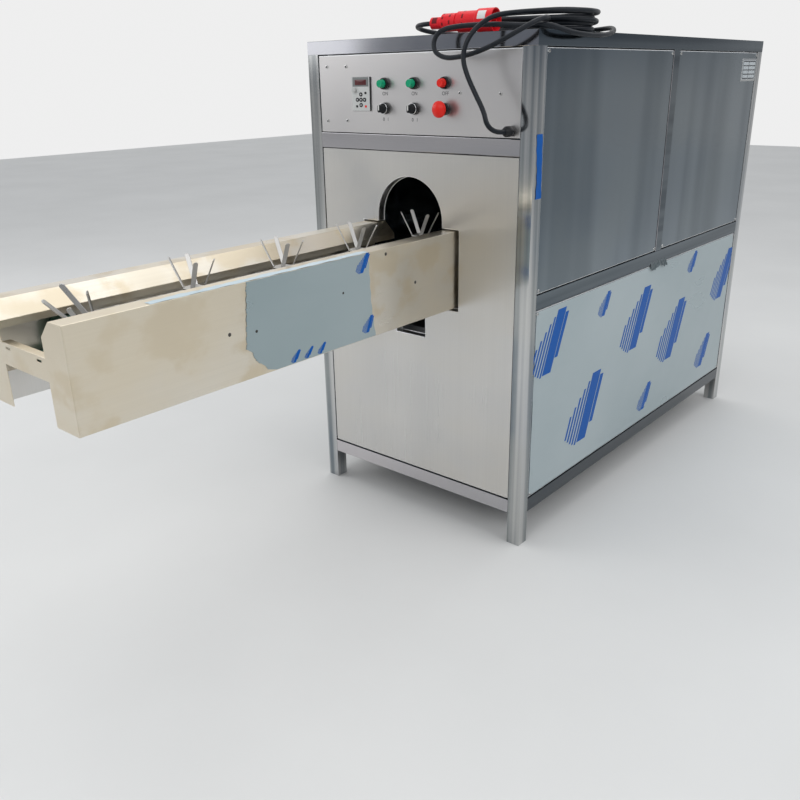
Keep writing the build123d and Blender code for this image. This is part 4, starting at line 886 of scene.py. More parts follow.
@dataclass(frozen=True)
class ScrewRecessShades(Dresser):
    """Painted shade for the driver sockets in the heads of the panel screws: dark discs a share of the head wide,
    just proud of it.
    """

    share: float = 0.5
    lift: float = 0.00002
    sides: int = 6

    def build(self) -> None:
        """Lays a dark six-sided disc of painted shade on each head. The heads are the islands of the node's merged
        mesh.
        """
        shell = bmesh.new()
        shell.from_mesh(frame["nodes"]["panel_screws"].data)
        bmesh.ops.remove_doubles(shell, verts=shell.verts, dist=MERGE_WITHIN)
        shell.verts.ensure_lookup_table()
        low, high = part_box("top_cover")
        rings = np.array([self.ring(island, (low + high) / 2) for island in self.islands(shell)])
        shell.free()
        faces = np.arange(rings.size // 3).reshape(-1, self.sides)
        finish = self.finishes["painted_socket_shade"]
        socket_shades = new_piece("screw_recess_painted_shades", rings.reshape(-1, 3), faces, finish, smooth=False)
        self.keep(socket_shades, "screws", self.catalogue.bodies["panel_screws"])

    def ring(self, island: np.ndarray, cabinet_middle: Vector) -> np.ndarray:
        """Works out a socket's corners: a circle on the head's outer face, across the axis that it is flattest along.

        Args:
            island: the head's corner places.
            cabinet_middle: the place that every head faces away from.

        Returns:
            The corners.
        """
        low, high = island.min(axis=0), island.max(axis=0)
        middle = (low + high) / 2
        axis = int(np.argmin(high - low))
        side = 1.0 if middle[axis] > cabinet_middle[axis] else -1.0
        radius = self.share * np.sort(high - low)[1] / 2
        first, second = (index for index in range(3) if index != axis)
        turns = np.linspace(0, 2 * math.pi, self.sides, endpoint=False)
        ring = np.tile(middle, (self.sides, 1))
        ring[:, axis] = (high if side > 0 else low)[axis] + side * self.lift
        ring[:, first] += radius * np.cos(turns)
        ring[:, second] += radius * np.sin(turns)
        return ring

    @staticmethod
    def islands(shell: bmesh.types.BMesh) -> list[np.ndarray]:
        """Finds the connected parts of a mesh.

        Args:
            shell: the merged mesh.

        Returns:
            The corner places of each part.
        """
        seen = set()
        parts = []
        for start in shell.verts:
            if start.index in seen:
                continue
            seen.add(start.index)
            stack = [start]
            part = []
            while stack:
                corner = stack.pop()
                part.append(tuple(corner.co))
                for edge in corner.link_edges:
                    other = edge.other_vert(corner)
                    if other.index not in seen:
                        seen.add(other.index)
                        stack.append(other)
            parts.append(np.array(part))
        return parts


@dataclass(frozen=True)
class Motif:
    """A printed sheaf of slanted bars on a film: its middle along Y and Z, its size and its lean."""

    y: float
    z: float
    size: float
    lean: float


@dataclass(frozen=True)
class Film(Dresser):
    """Film that clings to a sheet which faces right, and the sheaves of bars that are printed on it.

    Each bar is an offset, a length and a width, as shares of the motif's size.
    """

    bars: tuple[Triple, ...] = (
        (-0.40, 0.34, 0.05), (-0.30, 0.50, 0.05), (-0.20, 0.66, 0.05), (-0.10, 0.80, 0.05), (0.00, 0.92, 0.05),
        (0.20, 1.00, 0.26), (0.42, 0.70, 0.10),
    )
    bar_grid: tuple[int, int] = (3, 7)
    bar_climb: float = 0.3
    ink_lift: float = 0.00012

    @staticmethod
    def lift(y: np.ndarray, z: np.ndarray, height: float) -> np.ndarray:
        """How far a film stands off its sheet: three crossed sine waves, never below a tenth of the height."""
        waves = np.sin(23 * y + 9 * z) * np.sin(31 * z - 7 * y) + 0.6 * np.sin(61 * y - 40 * z + 1.3)
        return height * (0.35 + 0.16 * waves)

    def lay(
        self, name: str, y: np.ndarray, z: np.ndarray, face: float, height: float, finish: str, slot: str
    ) -> None:
        """Lays a film over a grid of places: x is the sheet's face plus the film's lift.

        Args:
            name: the piece's name.
            y: places behind the cabinet's front.
            z: heights.
            face: the sheet's X.
            height: how far the film may stand off it.
            finish: the film's material.
            slot: the sheet's slot.
        """
        x = face + self.lift(y, z, height)
        self.keep(grid_piece(name, x, y + FRONT_SHIFT, z, self.finishes[finish]), slot)

    def stamp(self, name: str, motifs: Sequence[Motif], face: float, height: float) -> None:
        """Prints sheaves of slanted bars, each a small grid that follows the film just in front of it.

        A bar's point is its offset and width across, shifted by the lean for each share of its length upwards.

        Args:
            name: the piece's name.
            motifs: the sheaves.
            face: the sheet's X.
            height: how far the film may stand off it.
        """
        rows, columns = self.bar_grid
        across, along = np.meshgrid(np.linspace(-0.5, 0.5, rows), np.linspace(0, 1, columns), indexing="ij")
        points = []
        for motif in motifs:
            for offset, length, width in self.bars:
                y = motif.y + motif.size * (offset + width * across + motif.lean * (along - 0.5) * length)
                z = motif.z + motif.size * ((along - 0.5) * length + self.bar_climb * offset)
                x = face + self.lift(y, z, height) + self.ink_lift
                points.append(np.stack((x, y + FRONT_SHIFT, z), axis=-1).reshape(-1, 3))
        starts = np.arange(len(points))[:, None, None] * across.size
        faces = (grid_faces(rows, columns) + starts).reshape(-1, 4)
        self.keep(new_piece(name, np.concatenate(points), faces, self.finishes["film_ink"]), "panel_steel")


@dataclass(frozen=True)
class PanelFilm(Film):
    """The film that still covers the lower right panel, a little inside its edges."""

    inset: float = 0.004
    top_inset: float = 0.003
    height: float = 0.0013
    grid: tuple[int, int] = (160, 60)
    motifs: tuple[Motif, ...] = (
        Motif(0.110, 0.560, 0.17, 0.42),
        Motif(0.330, 0.300, 0.20, 0.38),
        Motif(0.420, 0.610, 0.07, 0.42),
        Motif(0.640, 0.505, 0.19, 0.40),
        Motif(0.760, 0.215, 0.09, 0.42),
        Motif(0.930, 0.400, 0.20, 0.38),
        Motif(1.060, 0.625, 0.07, 0.42),
        Motif(1.250, 0.250, 0.12, 0.42),
        Motif(1.360, 0.520, 0.18, 0.40),
    )

    def build(self) -> None:
        """Lays the film and prints it."""
        low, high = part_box("right_lower_panel")
        along = np.linspace(low.y - FRONT_SHIFT + self.inset, high.y - FRONT_SHIFT - self.inset, self.grid[0])
        up = np.linspace(low.z + self.inset, high.z - self.top_inset, self.grid[1])
        y, z = np.meshgrid(along, up, indexing="ij")
        self.lay("lower_panel_film", y, z, high.x, self.height, "panel_film", "panel_steel")
        self.stamp("lower_panel_print", self.motifs, high.x, self.height)


@dataclass(frozen=True)
class CoverFilm(Film):
    """The film torn off half of the conveyor's right cover, the film on its top flange, and the cover's fasteners.

    The two edges are given as height and place along Y, from the bottom up.
    """

    bottom: float = 0.6585
    tall: float = 0.2035
    height: float = 0.0022
    grid: tuple[int, int] = (70, 60)
    torn_edge: tuple[tuple[float, float], ...] = (
        (0.660, -0.640), (0.664, -0.662), (0.680, -0.676), (0.692, -0.694), (0.712, -0.701), (0.723, -0.716),
        (0.862, -0.703),
    )
    cut_edge: tuple[tuple[float, float], ...] = ((0.66, -0.322), (0.74, -0.334), (0.80, -0.336), (0.862, -0.340))
    motifs: tuple[Motif, ...] = (
        Motif(-0.362, 0.838, 0.044, 0.5),
        Motif(-0.350, 0.690, 0.04, 0.4),
        Motif(-0.585, 0.672, 0.026, 0.6),
        Motif(-0.545, 0.671, 0.024, 0.7),
        Motif(-0.505, 0.671, 0.024, 0.6),
    )
    flange_start: float = -0.925
    flange_length: float = 0.59
    flange_width: float = 0.021
    flange_lift: float = 0.0006
    flange_grid: tuple[int, int] = (180, 6)
    marks_mm: tuple[tuple[float, float], ...] = ((-755, 764), (-686, 755), (-427, 784), (-168, 760), (-277, 849))
    mark_radius: float = 0.0042
    mark_depth: float = 0.0016
    mark_rings: tuple[float, ...] = (1.0, 0.8, 0.5, 0.0)
    mark_sides: int = 16

    def build(self) -> None:
        """Lays both films, sets the fasteners and prints the film on the cover.

        At each height, the film runs from the torn edge to the cut one: the given places with sines added.
        """
        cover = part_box("right_side_cover")[1]
        up = self.bottom + np.linspace(0, 1, self.grid[1]) * self.tall
        torn = np.interp(up, *np.array(self.torn_edge).T) + 0.0012 * np.sin(310 * up) + 0.001 * np.sin(830 * up + 1)
        cut = np.interp(up, *np.array(self.cut_edge).T) + 0.001 * np.sin(190 * up + 0.7)
        across = np.linspace(0, 1, self.grid[0])[:, None]
        y = torn + (cut - torn) * across
        self.lay("cover_film", y, np.broadcast_to(up, y.shape), cover.x, self.height, "cover_film", "cover_steel")
        self.flange(cover)
        self.fasteners(cover)
        self.stamp("cover_print", self.motifs, cover.x, self.height)

    def flange(self, cover: Vector) -> None:
        """Lays the pale film on the top flange: a strip whose inner edge is torn by two sines.

        Args:
            cover: the cover's highest corner.
        """
        rows, columns = (np.linspace(0, 1, count) for count in self.flange_grid)
        share, across = np.meshgrid(rows, columns, indexing="ij")
        y = self.flange_start + self.flange_length * share
        inner = cover.x - self.flange_width + 0.0016 * np.sin(53 * y) + 0.001 * np.sin(217 * y)
        x = cover.x - self.flange_lift + (inner - cover.x) * across
        z = cover.z + self.flange_lift + 0.0003 * np.sin(90 * y + 40 * across)
        self.keep(grid_piece("flange_film", x, y + FRONT_SHIFT, z, self.finishes["flange_film"]), "cover_steel")

    def fasteners(self, cover: Vector) -> None:
        """Sets small dark fastener ends in the cover: low turned discs whose height falls with the radius squared.

        Args:
            cover: the cover's highest corner.
        """
        turns = np.linspace(0, 2 * math.pi, self.mark_sides, endpoint=False)
        share = np.array(self.mark_rings)[:, None]
        radius = self.mark_radius * share
        for index, (y_mm, z_mm) in enumerate(self.marks_mm, 1):
            y = y_mm * MM + FRONT_SHIFT + radius * np.cos(turns)
            z = z_mm * MM + radius * np.sin(turns)
            x = cover.x + self.mark_depth * (1 - share**2)
            name = f"cover_mark_{index}"
            self.keep(grid_piece(name, x, y, z, self.finishes["fastener_mark"], ringed=True), "cover_steel")


@dataclass(frozen=True)
class FilmRemnants(Dresser):
    """A strip of blue film left on the front right post, and a scrap that curls out of the lower panel's top edge."""

    strip_bottom: float = 0.960
    strip_tall: float = 0.150
    strip_near: float = 0.012
    strip_far: float = 0.0385
    strip_lift: float = 0.0006
    strip_grid: tuple[int, int] = (6, 40)
    scrap_start: float = 0.717
    scrap_length: float = 0.118
    scrap_top: float = 0.686
    scrap_drop: float = 0.023
    scrap_lift: float = 0.0018
    scrap_curl: float = 0.005
    scrap_grid: tuple[int, int] = (50, 12)

    def build(self) -> None:
        """Lays the strip and hangs the scrap."""
        self.strip()
        self.scrap()

    def strip(self) -> None:
        """Lays the strip, whose two edges wander by sines over the share of its height."""
        columns, rows = (np.linspace(0, 1, count) for count in self.strip_grid)
        across, share = np.meshgrid(columns, rows, indexing="ij")
        z = self.strip_bottom + self.strip_tall * share
        near = self.strip_near + 0.003 * np.sin(5 * share) + 0.001 * np.sin(31 * share)
        far = self.strip_far - 0.004 * share + 0.0008 * np.sin(23 * share)
        y = near + (far - near) * across
        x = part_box("corner_posts")[1].x + self.strip_lift + 0.0004 * np.sin(40 * z) * np.sin(160 * y)
        self.keep(grid_piece("post_film_strip", x, y + FRONT_SHIFT, z, self.finishes["film_ink"]), "frame_steel")

    def scrap(self) -> None:
        """Hangs the scrap out of the panel's top edge.

        Over the length share s and the height share t, it hangs t times its height, which two sines shorten, and
        stands off the panel by a quarter circle's profile with a crumple of crossed sines.
        """
        rows, columns = (np.linspace(0, 1, count) for count in self.scrap_grid)
        s, t = np.meshgrid(rows, columns, indexing="ij")
        y = self.scrap_start + self.scrap_length * s
        z = self.scrap_top - (self.scrap_drop + 0.004 * np.sin(9 * s) + 0.002 * np.sin(33 * s)) * t
        crumple = 0.0012 * np.sin(40 * s + 3 * t) * np.sin(7 * t + 11 * s)
        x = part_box("right_lower_panel")[1].x + self.scrap_lift + self.scrap_curl * (1 - np.cos(1.5 * t)) + crumple
        self.keep(grid_piece("film_scrap", x, y + FRONT_SHIFT, z, self.finishes["film_scrap"]), "panel_steel")


@dataclass(frozen=True)
class RatingPlate(Dresser):
    """The plate on the rear right panel: thin, raised, with an empty ruled table and no words.

    Its corners are given behind the cabinet's front and over the floor. The lines are shares of the half sizes.
    """

    low_mm: tuple[float, float] = (1310, 1208)
    high_mm: tuple[float, float] = (1450, 1280)
    thickness: float = 0.0008
    corner: float = 0.004
    border: float = 0.006
    field_corner: float = 0.002
    field_share: float = 1 / 6
    line: float = 0.0015
    line_lift: float = 1.25
    side_margin: float = 0.012
    end_margin: float = 0.009
    rows: tuple[float, ...] = (-1.0, -0.5, 0.0, 0.5, 1.0)
    columns: tuple[float, ...] = (-1.0, -0.1, 1.0)

    def build(self) -> None:
        """Lays the plate, a paler field on it, and the field's ruled lines."""
        low, high = np.array(self.low_mm) * MM, np.array(self.high_mm) * MM
        width, height = high - low
        middle = (low + high) / 2 + (FRONT_SHIFT, 0.0)
        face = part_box("right_rear_panel")[1].x
        thin = self.thickness * self.field_share
        plate = Pad(width, height, self.thickness, self.corner, self.thickness)
        inner = Pad(width - 2 * self.border, height - 2 * self.border, thin, self.field_corner, thin)
        self.slab("rating_plate", plate, middle, face, "plate_metal")
        self.slab("rating_plate_field", inner, middle, face + self.thickness, "plate_field")
        self.ruled_lines(middle, (width, height), face + self.thickness * self.line_lift)

    def slab(self, name: str, pad: Pad, middle: np.ndarray, face: float, finish: str) -> None:
        """Lays a pad that faces right.

        Args:
            name: the piece's name.
            pad: its form.
            middle: its middle along Y and Z.
            face: the X that it lies on.
            finish: its material.
        """
        flat, depths = pad.rings()
        y, z = middle[0] + flat[..., 0], middle[1] + flat[..., 1]
        self.keep(grid_piece(name, face + depths, y, z, self.finishes[finish], ringed=True), "panel_steel")

    def ruled_lines(self, middle: np.ndarray, size: tuple[float, float], face: float) -> None:
        """Rules the empty table: thin flat bars at even shares of the field, as one mesh of quads.

        Args:
            middle: its middle along Y and Z.
            size: the plate's width and height.
            face: the X of the lines.
        """
        half_width = size[0] / 2 - self.side_margin
        half_height = size[1] / 2 - self.end_margin
        bars = [(0.0, share * half_height, half_width, self.line) for share in self.rows]
        bars += [(share * half_width, 0.0, self.line, half_height) for share in self.columns]
        centre, half = np.split(np.array(bars)[:, None], 2, axis=-1)
        flat = middle + centre + half * np.array([(-1, -1), (1, -1), (1, 1), (-1, 1)])
        points = np.insert(flat.reshape(-1, 2), 0, face, axis=1)
        faces = np.arange(len(points)).reshape(-1, 4)
        lines = new_piece("rating_plate_lines", points, faces, self.finishes["black_print"])
        self.keep(lines, "panel_steel")


@dataclass(frozen=True)
class ControlPanel(Dresser):
    """The keypad with its window and keys, the small legends, and the caps, rings and lines of the switches."""

    keypad_x_mm: float = -174.5
    face_z_mm: float = 1200.5
    window_z_mm: float = 1230.0
    surround_z_mm: float = 1231.0
    keys_mm: tuple[tuple[float, float], ...] = (
        (-174, 1199.5), (-187, 1186), (-174, 1186), (-161, 1186), (-174, 1172.5),
    )
    small_keys_mm: tuple[tuple[float, float], ...] = ((-157, 1203), (-189, 1169), (-157, 1169))
    keypad_face: Pad = Pad(0.0645, 0.0855, 0.0004, corner=0.002, rise=0.0002)
    surround: Pad = Pad(0.0585, 0.0235, 0.0004, corner=0.001, rise=0.0001)
    window: Pad = Pad(0.041, 0.0135, 0.0011, corner=0.001, rise=0.0003)
    key: Pad = Pad(0.0122, 0.0104, 0.0009, corner=0.005, rise=0.0004)
    key_centre: Pad = Pad(0.0052, 0.0038, 0.0003, corner=0.0018, rise=0.0001)
    small_key: Pad = Pad(0.0075, 0.006, 0.0007, corner=0.002, rise=0.0004)
    surround_lift: float = 0.0002
    key_lift: float = 0.0003
    key_centre_lift: float = 0.0011
    legends: tuple[tuple[str, float, float], ...] = (
        ("ON", -90, 1197), ("ON", 10, 1197), ("OFF", 110, 1197), ("0   I", -90, 1133), ("0   I", 10, 1133),
    )
    legend_size: float = 0.0125
    legend_lift: float = 0.00015
    selectors_x_mm: tuple[float, ...] = (-90, 10)
    selectors_z_mm: float = 1164.5
    ring_radius: float = 0.0131
    ring_wire: float = 0.0009
    ring_foot: float = 0.0002
    ring_lift: float = 0.0110
    line: Pad = Pad(0.003, 0.0135, 0.0007, corner=0.0013, rise=0.0002)
    line_sink: float = 0.0001
    line_up: float = 0.0025
    cap_edge: float = 0.0022
    cap_rim: float = 0.93

    def build(self) -> None:
        """Makes the keypad's face, the legends and what the switches wear."""
        self.keypad()
        for index, legend in enumerate(self.legends, 1):
            self.legend(f"legend_{index}", *legend)
        for node, finish in BUTTON_CAPS.items():
            self.cap(node, finish)
        self.selector_rings()
        self.pointers()

    def pad(self, name: str, pad: Pad, place: Sequence[float], finish: str, body: str | None = None) -> None:
        """Lays a pad that faces forwards.

        Args:
            name: the piece's name.
            pad: its form.
            place: the middle of its back.
            finish: its material.
            body: the body that carries it, or none for the machine itself.
        """
        flat, depths = pad.rings()
        x, z = place[0] + flat[..., 0], place[2] + flat[..., 1]
        self.keep(grid_piece(name, x, place[1] - depths, z, self.finishes[finish], ringed=True), "device_black", body)

    def keypad(self) -> None:
        """Lays the membrane, the display's surround and window, and the keys with their pale centres."""
        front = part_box("inverter")[0].y
        x = self.keypad_x_mm * MM
        self.pad("keypad_face", self.keypad_face, (x, front, self.face_z_mm * MM), "keypad_membrane")
        surround_place = (x, front - self.surround_lift, self.surround_z_mm * MM)
        self.pad("display_surround", self.surround, surround_place, "display_surround")
        self.pad("display_window", self.window, (x, front, self.window_z_mm * MM), "display_window")
        for index, (x_mm, z_mm) in enumerate(self.keys_mm, 1):
            x, z = x_mm * MM, z_mm * MM
            self.pad(f"keypad_key_{index}", self.key, (x, front - self.key_lift, z), "black_plastic")
            place = (x, front - self.key_centre_lift, z)
            self.pad(f"keypad_key_centre_{index}", self.key_centre, place, "key_centre")
        for index, (x_mm, z_mm) in enumerate(self.small_keys_mm, 1):
            finish = "red_cap" if index == len(self.small_keys_mm) else "black_plastic"
            place = (x_mm * MM, front - self.key_lift, z_mm * MM)
            self.pad(f"keypad_small_key_{index}", self.small_key, place, finish)

    def legend(self, name: str, words: str, x_mm: float, z_mm: float) -> None:
        """Prints small words on the panel, made a mesh and stood up before they are placed.

        Args:
            name: the piece's name.
            words: what is printed.
            x_mm: the words' middle.
            z_mm: their foot.
        """
        curve = bpy.data.curves.new(name, "FONT")
        curve.body = words
        curve.size = self.legend_size
        curve.align_x = "CENTER"
        holder = put_in_scene(name + "_text", curve)
        bpy.context.view_layer.update()
        mesh = bpy.data.meshes.new_from_object(holder.evaluated_get(bpy.context.evaluated_depsgraph_get()))
        bpy.data.objects.remove(holder)
        place = (x_mm * MM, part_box("control_panel")[0].y - self.legend_lift, z_mm * MM)
        mesh.transform(Matrix.Translation(place) @ Matrix.Rotation(math.pi / 2, 4, "X"))
        mesh.materials.clear()
        mesh.materials.append(self.finishes["black_print"])
        self.keep(put_in_scene(name, mesh), "device_black")

    def cap(self, node: str, finish: str) -> None:
        """Turns a domed cap about a button's own axis, a little narrower in front of its collar, to stand for it.

        Args:
            node: the button's node.
            finish: the cap's material.
        """
        low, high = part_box(node)
        middle = (low + high) / 2
        depth = high.y - low.y
        radius = (high.x - low.x) / 2
        rim = radius * self.cap_rim
        edge = self.cap_edge
        turns = np.linspace(0, math.pi / 2, 7)
        profile = [(0, 0), (radius, 0), (radius, depth * 0.62), (rim, depth * 0.66)]
        profile += [(rim - edge + edge * math.cos(t), depth - edge + edge * math.sin(t)) for t in turns]
        profile += [(rim * 0.7, depth - 0.0004), (rim * 0.35, depth - 0.0001), (0, depth)]
        cap = turned_piece(node + "_cap", profile, (middle.x, high.y, middle.z), self.finishes[finish])
        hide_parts(node)
        self.keep(cap, self.catalogue.slots[node], self.catalogue.bodies[node])

    def selector_rings(self) -> None:
        """Turns silver rings on the two selectors' bezels from a small half circle on a short foot."""
        inner, outer = self.ring_radius - self.ring_wire, self.ring_radius + self.ring_wire
        turns = np.linspace(0, math.pi, 9)
        profile = [(inner, -self.ring_foot)]
        profile += [(self.ring_radius - self.ring_wire * math.cos(t), self.ring_wire * math.sin(t)) for t in turns]
        profile += [(outer, -self.ring_foot), (inner, -self.ring_foot)]
        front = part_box("control_panel")[0].y - self.ring_lift
        for index, x_mm in enumerate(self.selectors_x_mm, 1):
            place = (x_mm * MM, front, self.selectors_z_mm * MM)
            ring = turned_piece(f"selector_ring_{index}", profile, place, self.finishes["bezel_chrome"])
            self.keep(ring, "bezel_chrome")

    def pointers(self) -> None:
        """Lays a white line along the front of each selector's grip, which turns with it."""
        for index in range(1, len(self.selectors_x_mm) + 1):
            node = f"selector_{index}"
            low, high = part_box(node)
            middle = (low + high) / 2
            place = (middle.x, low.y + self.line_sink, middle.z + self.line_up)
            self.pad(f"selector_line_{index}", self.line, place, "white_print", self.catalogue.bodies[node])


@dataclass(frozen=True)
class CordRoute:
    """The cord's control points in millimetres, and its coil as loops of an oval that wanders inwards and back."""

    diameter: float = 11.5
    lead: float = 34.0
    gland: Triple = (307, -28, 1116)
    up: tuple[Triple, ...] = (
        (297, -86, 1134), (288, -83, 1162), (257, -80, 1206), (235, -80, 1243), (223, -80, 1275), (225, -77, 1303),
        (234, -66, 1330), (248, -44, 1353), (267, -17, 1370), (298, 20, 1375), (334, 62, 1378), (366, 112, 1381),
    )
    to_plug: tuple[Triple, ...] = (
        (318, 99, 1350), (358, 68, 1360), (376, 32, 1362), (376, -6, 1355), (360, -36, 1340), (328, -50, 1322),
        (286, -54, 1304), (240, -55, 1290), (192, -55, 1282), (150, -54, 1281), (118, -52, 1295), (111, -48, 1320),
        (126, -41, 1344), (170, -26, 1351), (230, -12, 1352), (290, -8, 1349), (340, 2, 1345), (384, 30, 1347),
        (408, 75, 1331), (415, 130, 1326), (416, 190, 1325), (414, 250, 1328), (404, 305, 1337), (378, 345, 1348),
        (335, 368, 1347), (278, 374, 1344), (215, 368, 1344), (152, 350, 1344), (96, 316, 1344), (50, 268, 1344),
        (12, 216, 1344), (-20, 164, 1346), (-40, 114, 1352), (-38, 68, 1360),
    )
    plug_end: Triple = (35, 46, 1364.8)
    plug_turn: float = 6.0
    coil_middle: tuple[float, float] = (232, 228)
    coil_radii: tuple[float, float] = (150, 115)
    coil_step: float = 14.5
    coil_lift: float = 12.6
    coil_layers: tuple[int, ...] = (4, 4, 4, 5)
    coil_climb: int = 2
    coil_floor: float = 1343.05
    points_per_quarter: int = 4

    def coil_points(self) -> np.ndarray:
        """Control points from the coil's top end down to its low end.

        The angle runs clockwise from the front, the inset goes in and out by one step a turn, layer by layer, and
        the height climbs one cord between layers. The radii are widened by what the spline cuts off its corners.

        Returns:
            Points in millimetres, top loop first.
        """
        quarter = [0.0]
        inset = [0.0]
        height = [self.coil_floor]
        inwards = 1
        for layer, quarters in enumerate(self.coil_layers):
            quarter.append(quarter[-1] + quarters)
            inset.append(inset[-1] + inwards * self.coil_step / 4 * quarters)
            height.append(height[-1])
            if layer < len(self.coil_layers) - 1:
                quarter.append(quarter[-1] + self.coil_climb)
                inset.append(inset[-1])
                height.append(height[-1] + self.coil_lift)
            inwards = -inwards
        count = int(quarter[-1] * self.points_per_quarter) + 1
        place = np.linspace(0, quarter[-1], count)
        angle = np.radians(-90 - 90 * place)
        inset_here = np.interp(place, quarter, inset)
        widen = 1 / math.cos(math.pi / 4 / self.points_per_quarter)
        x = self.coil_middle[0] + (self.coil_radii[0] - inset_here) * widen * np.cos(angle)
        y = self.coil_middle[1] + (self.coil_radii[1] - inset_here) * widen * np.sin(angle)
        return np.stack((x, y, np.interp(place, quarter, height)), axis=1)[::-1]

    def points(self) -> np.ndarray:
        """Joins the control points from the gland's tip through the coil to the plug's tail.

        Returns:
            Points in metres of the shared frame.
        """
        coil = self.coil_points()
        gland = np.array(self.gland)
        turn = math.radians(self.plug_turn)
        plug = np.array(self.plug_end)
        plug_way = np.array((math.cos(turn), math.sin(turn), 0.0))
        beside = self.lead + self.diameter
        first = np.array([gland, gland + (0, -self.lead, 0), *self.up, coil[0] + (0, -beside, 0)])
        last = np.array([coil[-1] + (beside, 0, 0), *self.to_plug, plug - plug_way * self.lead, plug])
        route = np.concatenate((first, coil, last)) * MM
        route[:, 1] += FRONT_SHIFT
        return route


@dataclass(frozen=True)
class PlugPatch:
    """A patch of a cylinder round the plug's axis, in millimetres and degrees: a length, a radius and an arc."""

    start: float
    stop: float
    radius: float
    middle: float
    half_arc: float
    # By default a dark patch of painted shade for a slot.
    finish: str = "plug_slot_painted_shade"

    def grid(self) -> tuple[np.ndarray, np.ndarray, np.ndarray]:
        """Works out the patch's places: radius * (sin a, cos a) to the side and above, over its length and arc a.

        Returns:
            Places along the axis, to the side of it and above it.
        """
        arc = np.linspace(-self.half_arc, self.half_arc, 10)
        along, arc = np.meshgrid(np.linspace(self.start, self.stop, 4), arc, indexing="ij")
        angle = np.radians(self.middle + arc)
        return along, self.radius * np.sin(angle), self.radius * np.cos(angle)


@dataclass(frozen=True)
class PowerCord(Dresser):
    """The cord in one length from the gland through its coil on the cabinet's top to the plug."""

    length: float = 7.035
    route: CordRoute = CordRoute()
    patches: tuple[PlugPatch, ...] = (
        PlugPatch(6.0, 20.0, 14.2, 60.0, 34.0),
        *(PlugPatch(38.0, 42.0, 21.2, angle, 9.0) for angle in (20.0, 60.0, 100.0)),
        *(PlugPatch(58.0, 62.0, 21.2, angle, 12.0) for angle in (0.0, 45.0, 90.0)),
        *(PlugPatch(96.0, 100.0, 24.2, angle, 14.0) for angle in (10.0, 60.0, 110.0)),
        PlugPatch(142.0, 164.0, 27.7, 62.0, 22.0, "white_print"),
    )

    def build(self) -> None:
        points = self.route.points()
        curve = bpy.data.curves.new("power_cord_line", "CURVE")
        curve.dimensions = "3D"
        curve.bevel_depth = self.route.diameter / 2 * MM
        curve.bevel_resolution = 4
        curve.use_fill_caps = True
        spline = curve.splines.new("NURBS")
        spline.points.add(len(points) - 1)
        spline.points.foreach_set("co", np.column_stack((points, np.ones(len(points)))).ravel())
        spline.order_u = 3
        spline.use_endpoint_u = True
        spline.resolution_u = 4
        curve.materials.append(self.finishes["cord_rubber"])
        cord = put_in_scene("power_cord_line", curve)
        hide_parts("power_cord", "cord_coil", "plug_cord")
        self.keep(cord, "cord_rubber")
        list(self.plug_details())

    def plug_details(self) -> list[bpy.types.Object]:
        """Lays dark patches of painted shade round the plug for its grip slots, and a bare label patch.

        Returns:
            The pieces.
        """
        turn = math.radians(self.route.plug_turn)
        end = self.route.plug_end
        details = []
        for index, patch in enumerate(self.patches, 1):
            along, side, above = patch.grid()
            x = end[0] + along * math.cos(turn) + side * math.sin(turn)
            y = end[1] + along * math.sin(turn) - side * math.cos(turn)
            z = end[2] + above
            finish = self.finishes[patch.finish]
            piece = grid_piece(f"plug_detail_{index}", x * MM, y * MM + FRONT_SHIFT, z * MM, finish)
            self.keep(piece, "plug_red")
            details.append(piece)
        return details


@dataclass(frozen=True)
class Lamp:
    """A soft lamp: where it hangs, its size, its power in watts and where it points."""

    name: str
    place: Triple
    size: tuple[float, float]
    power: float
    aim: Triple = (0.0, -0.3, 0.7)


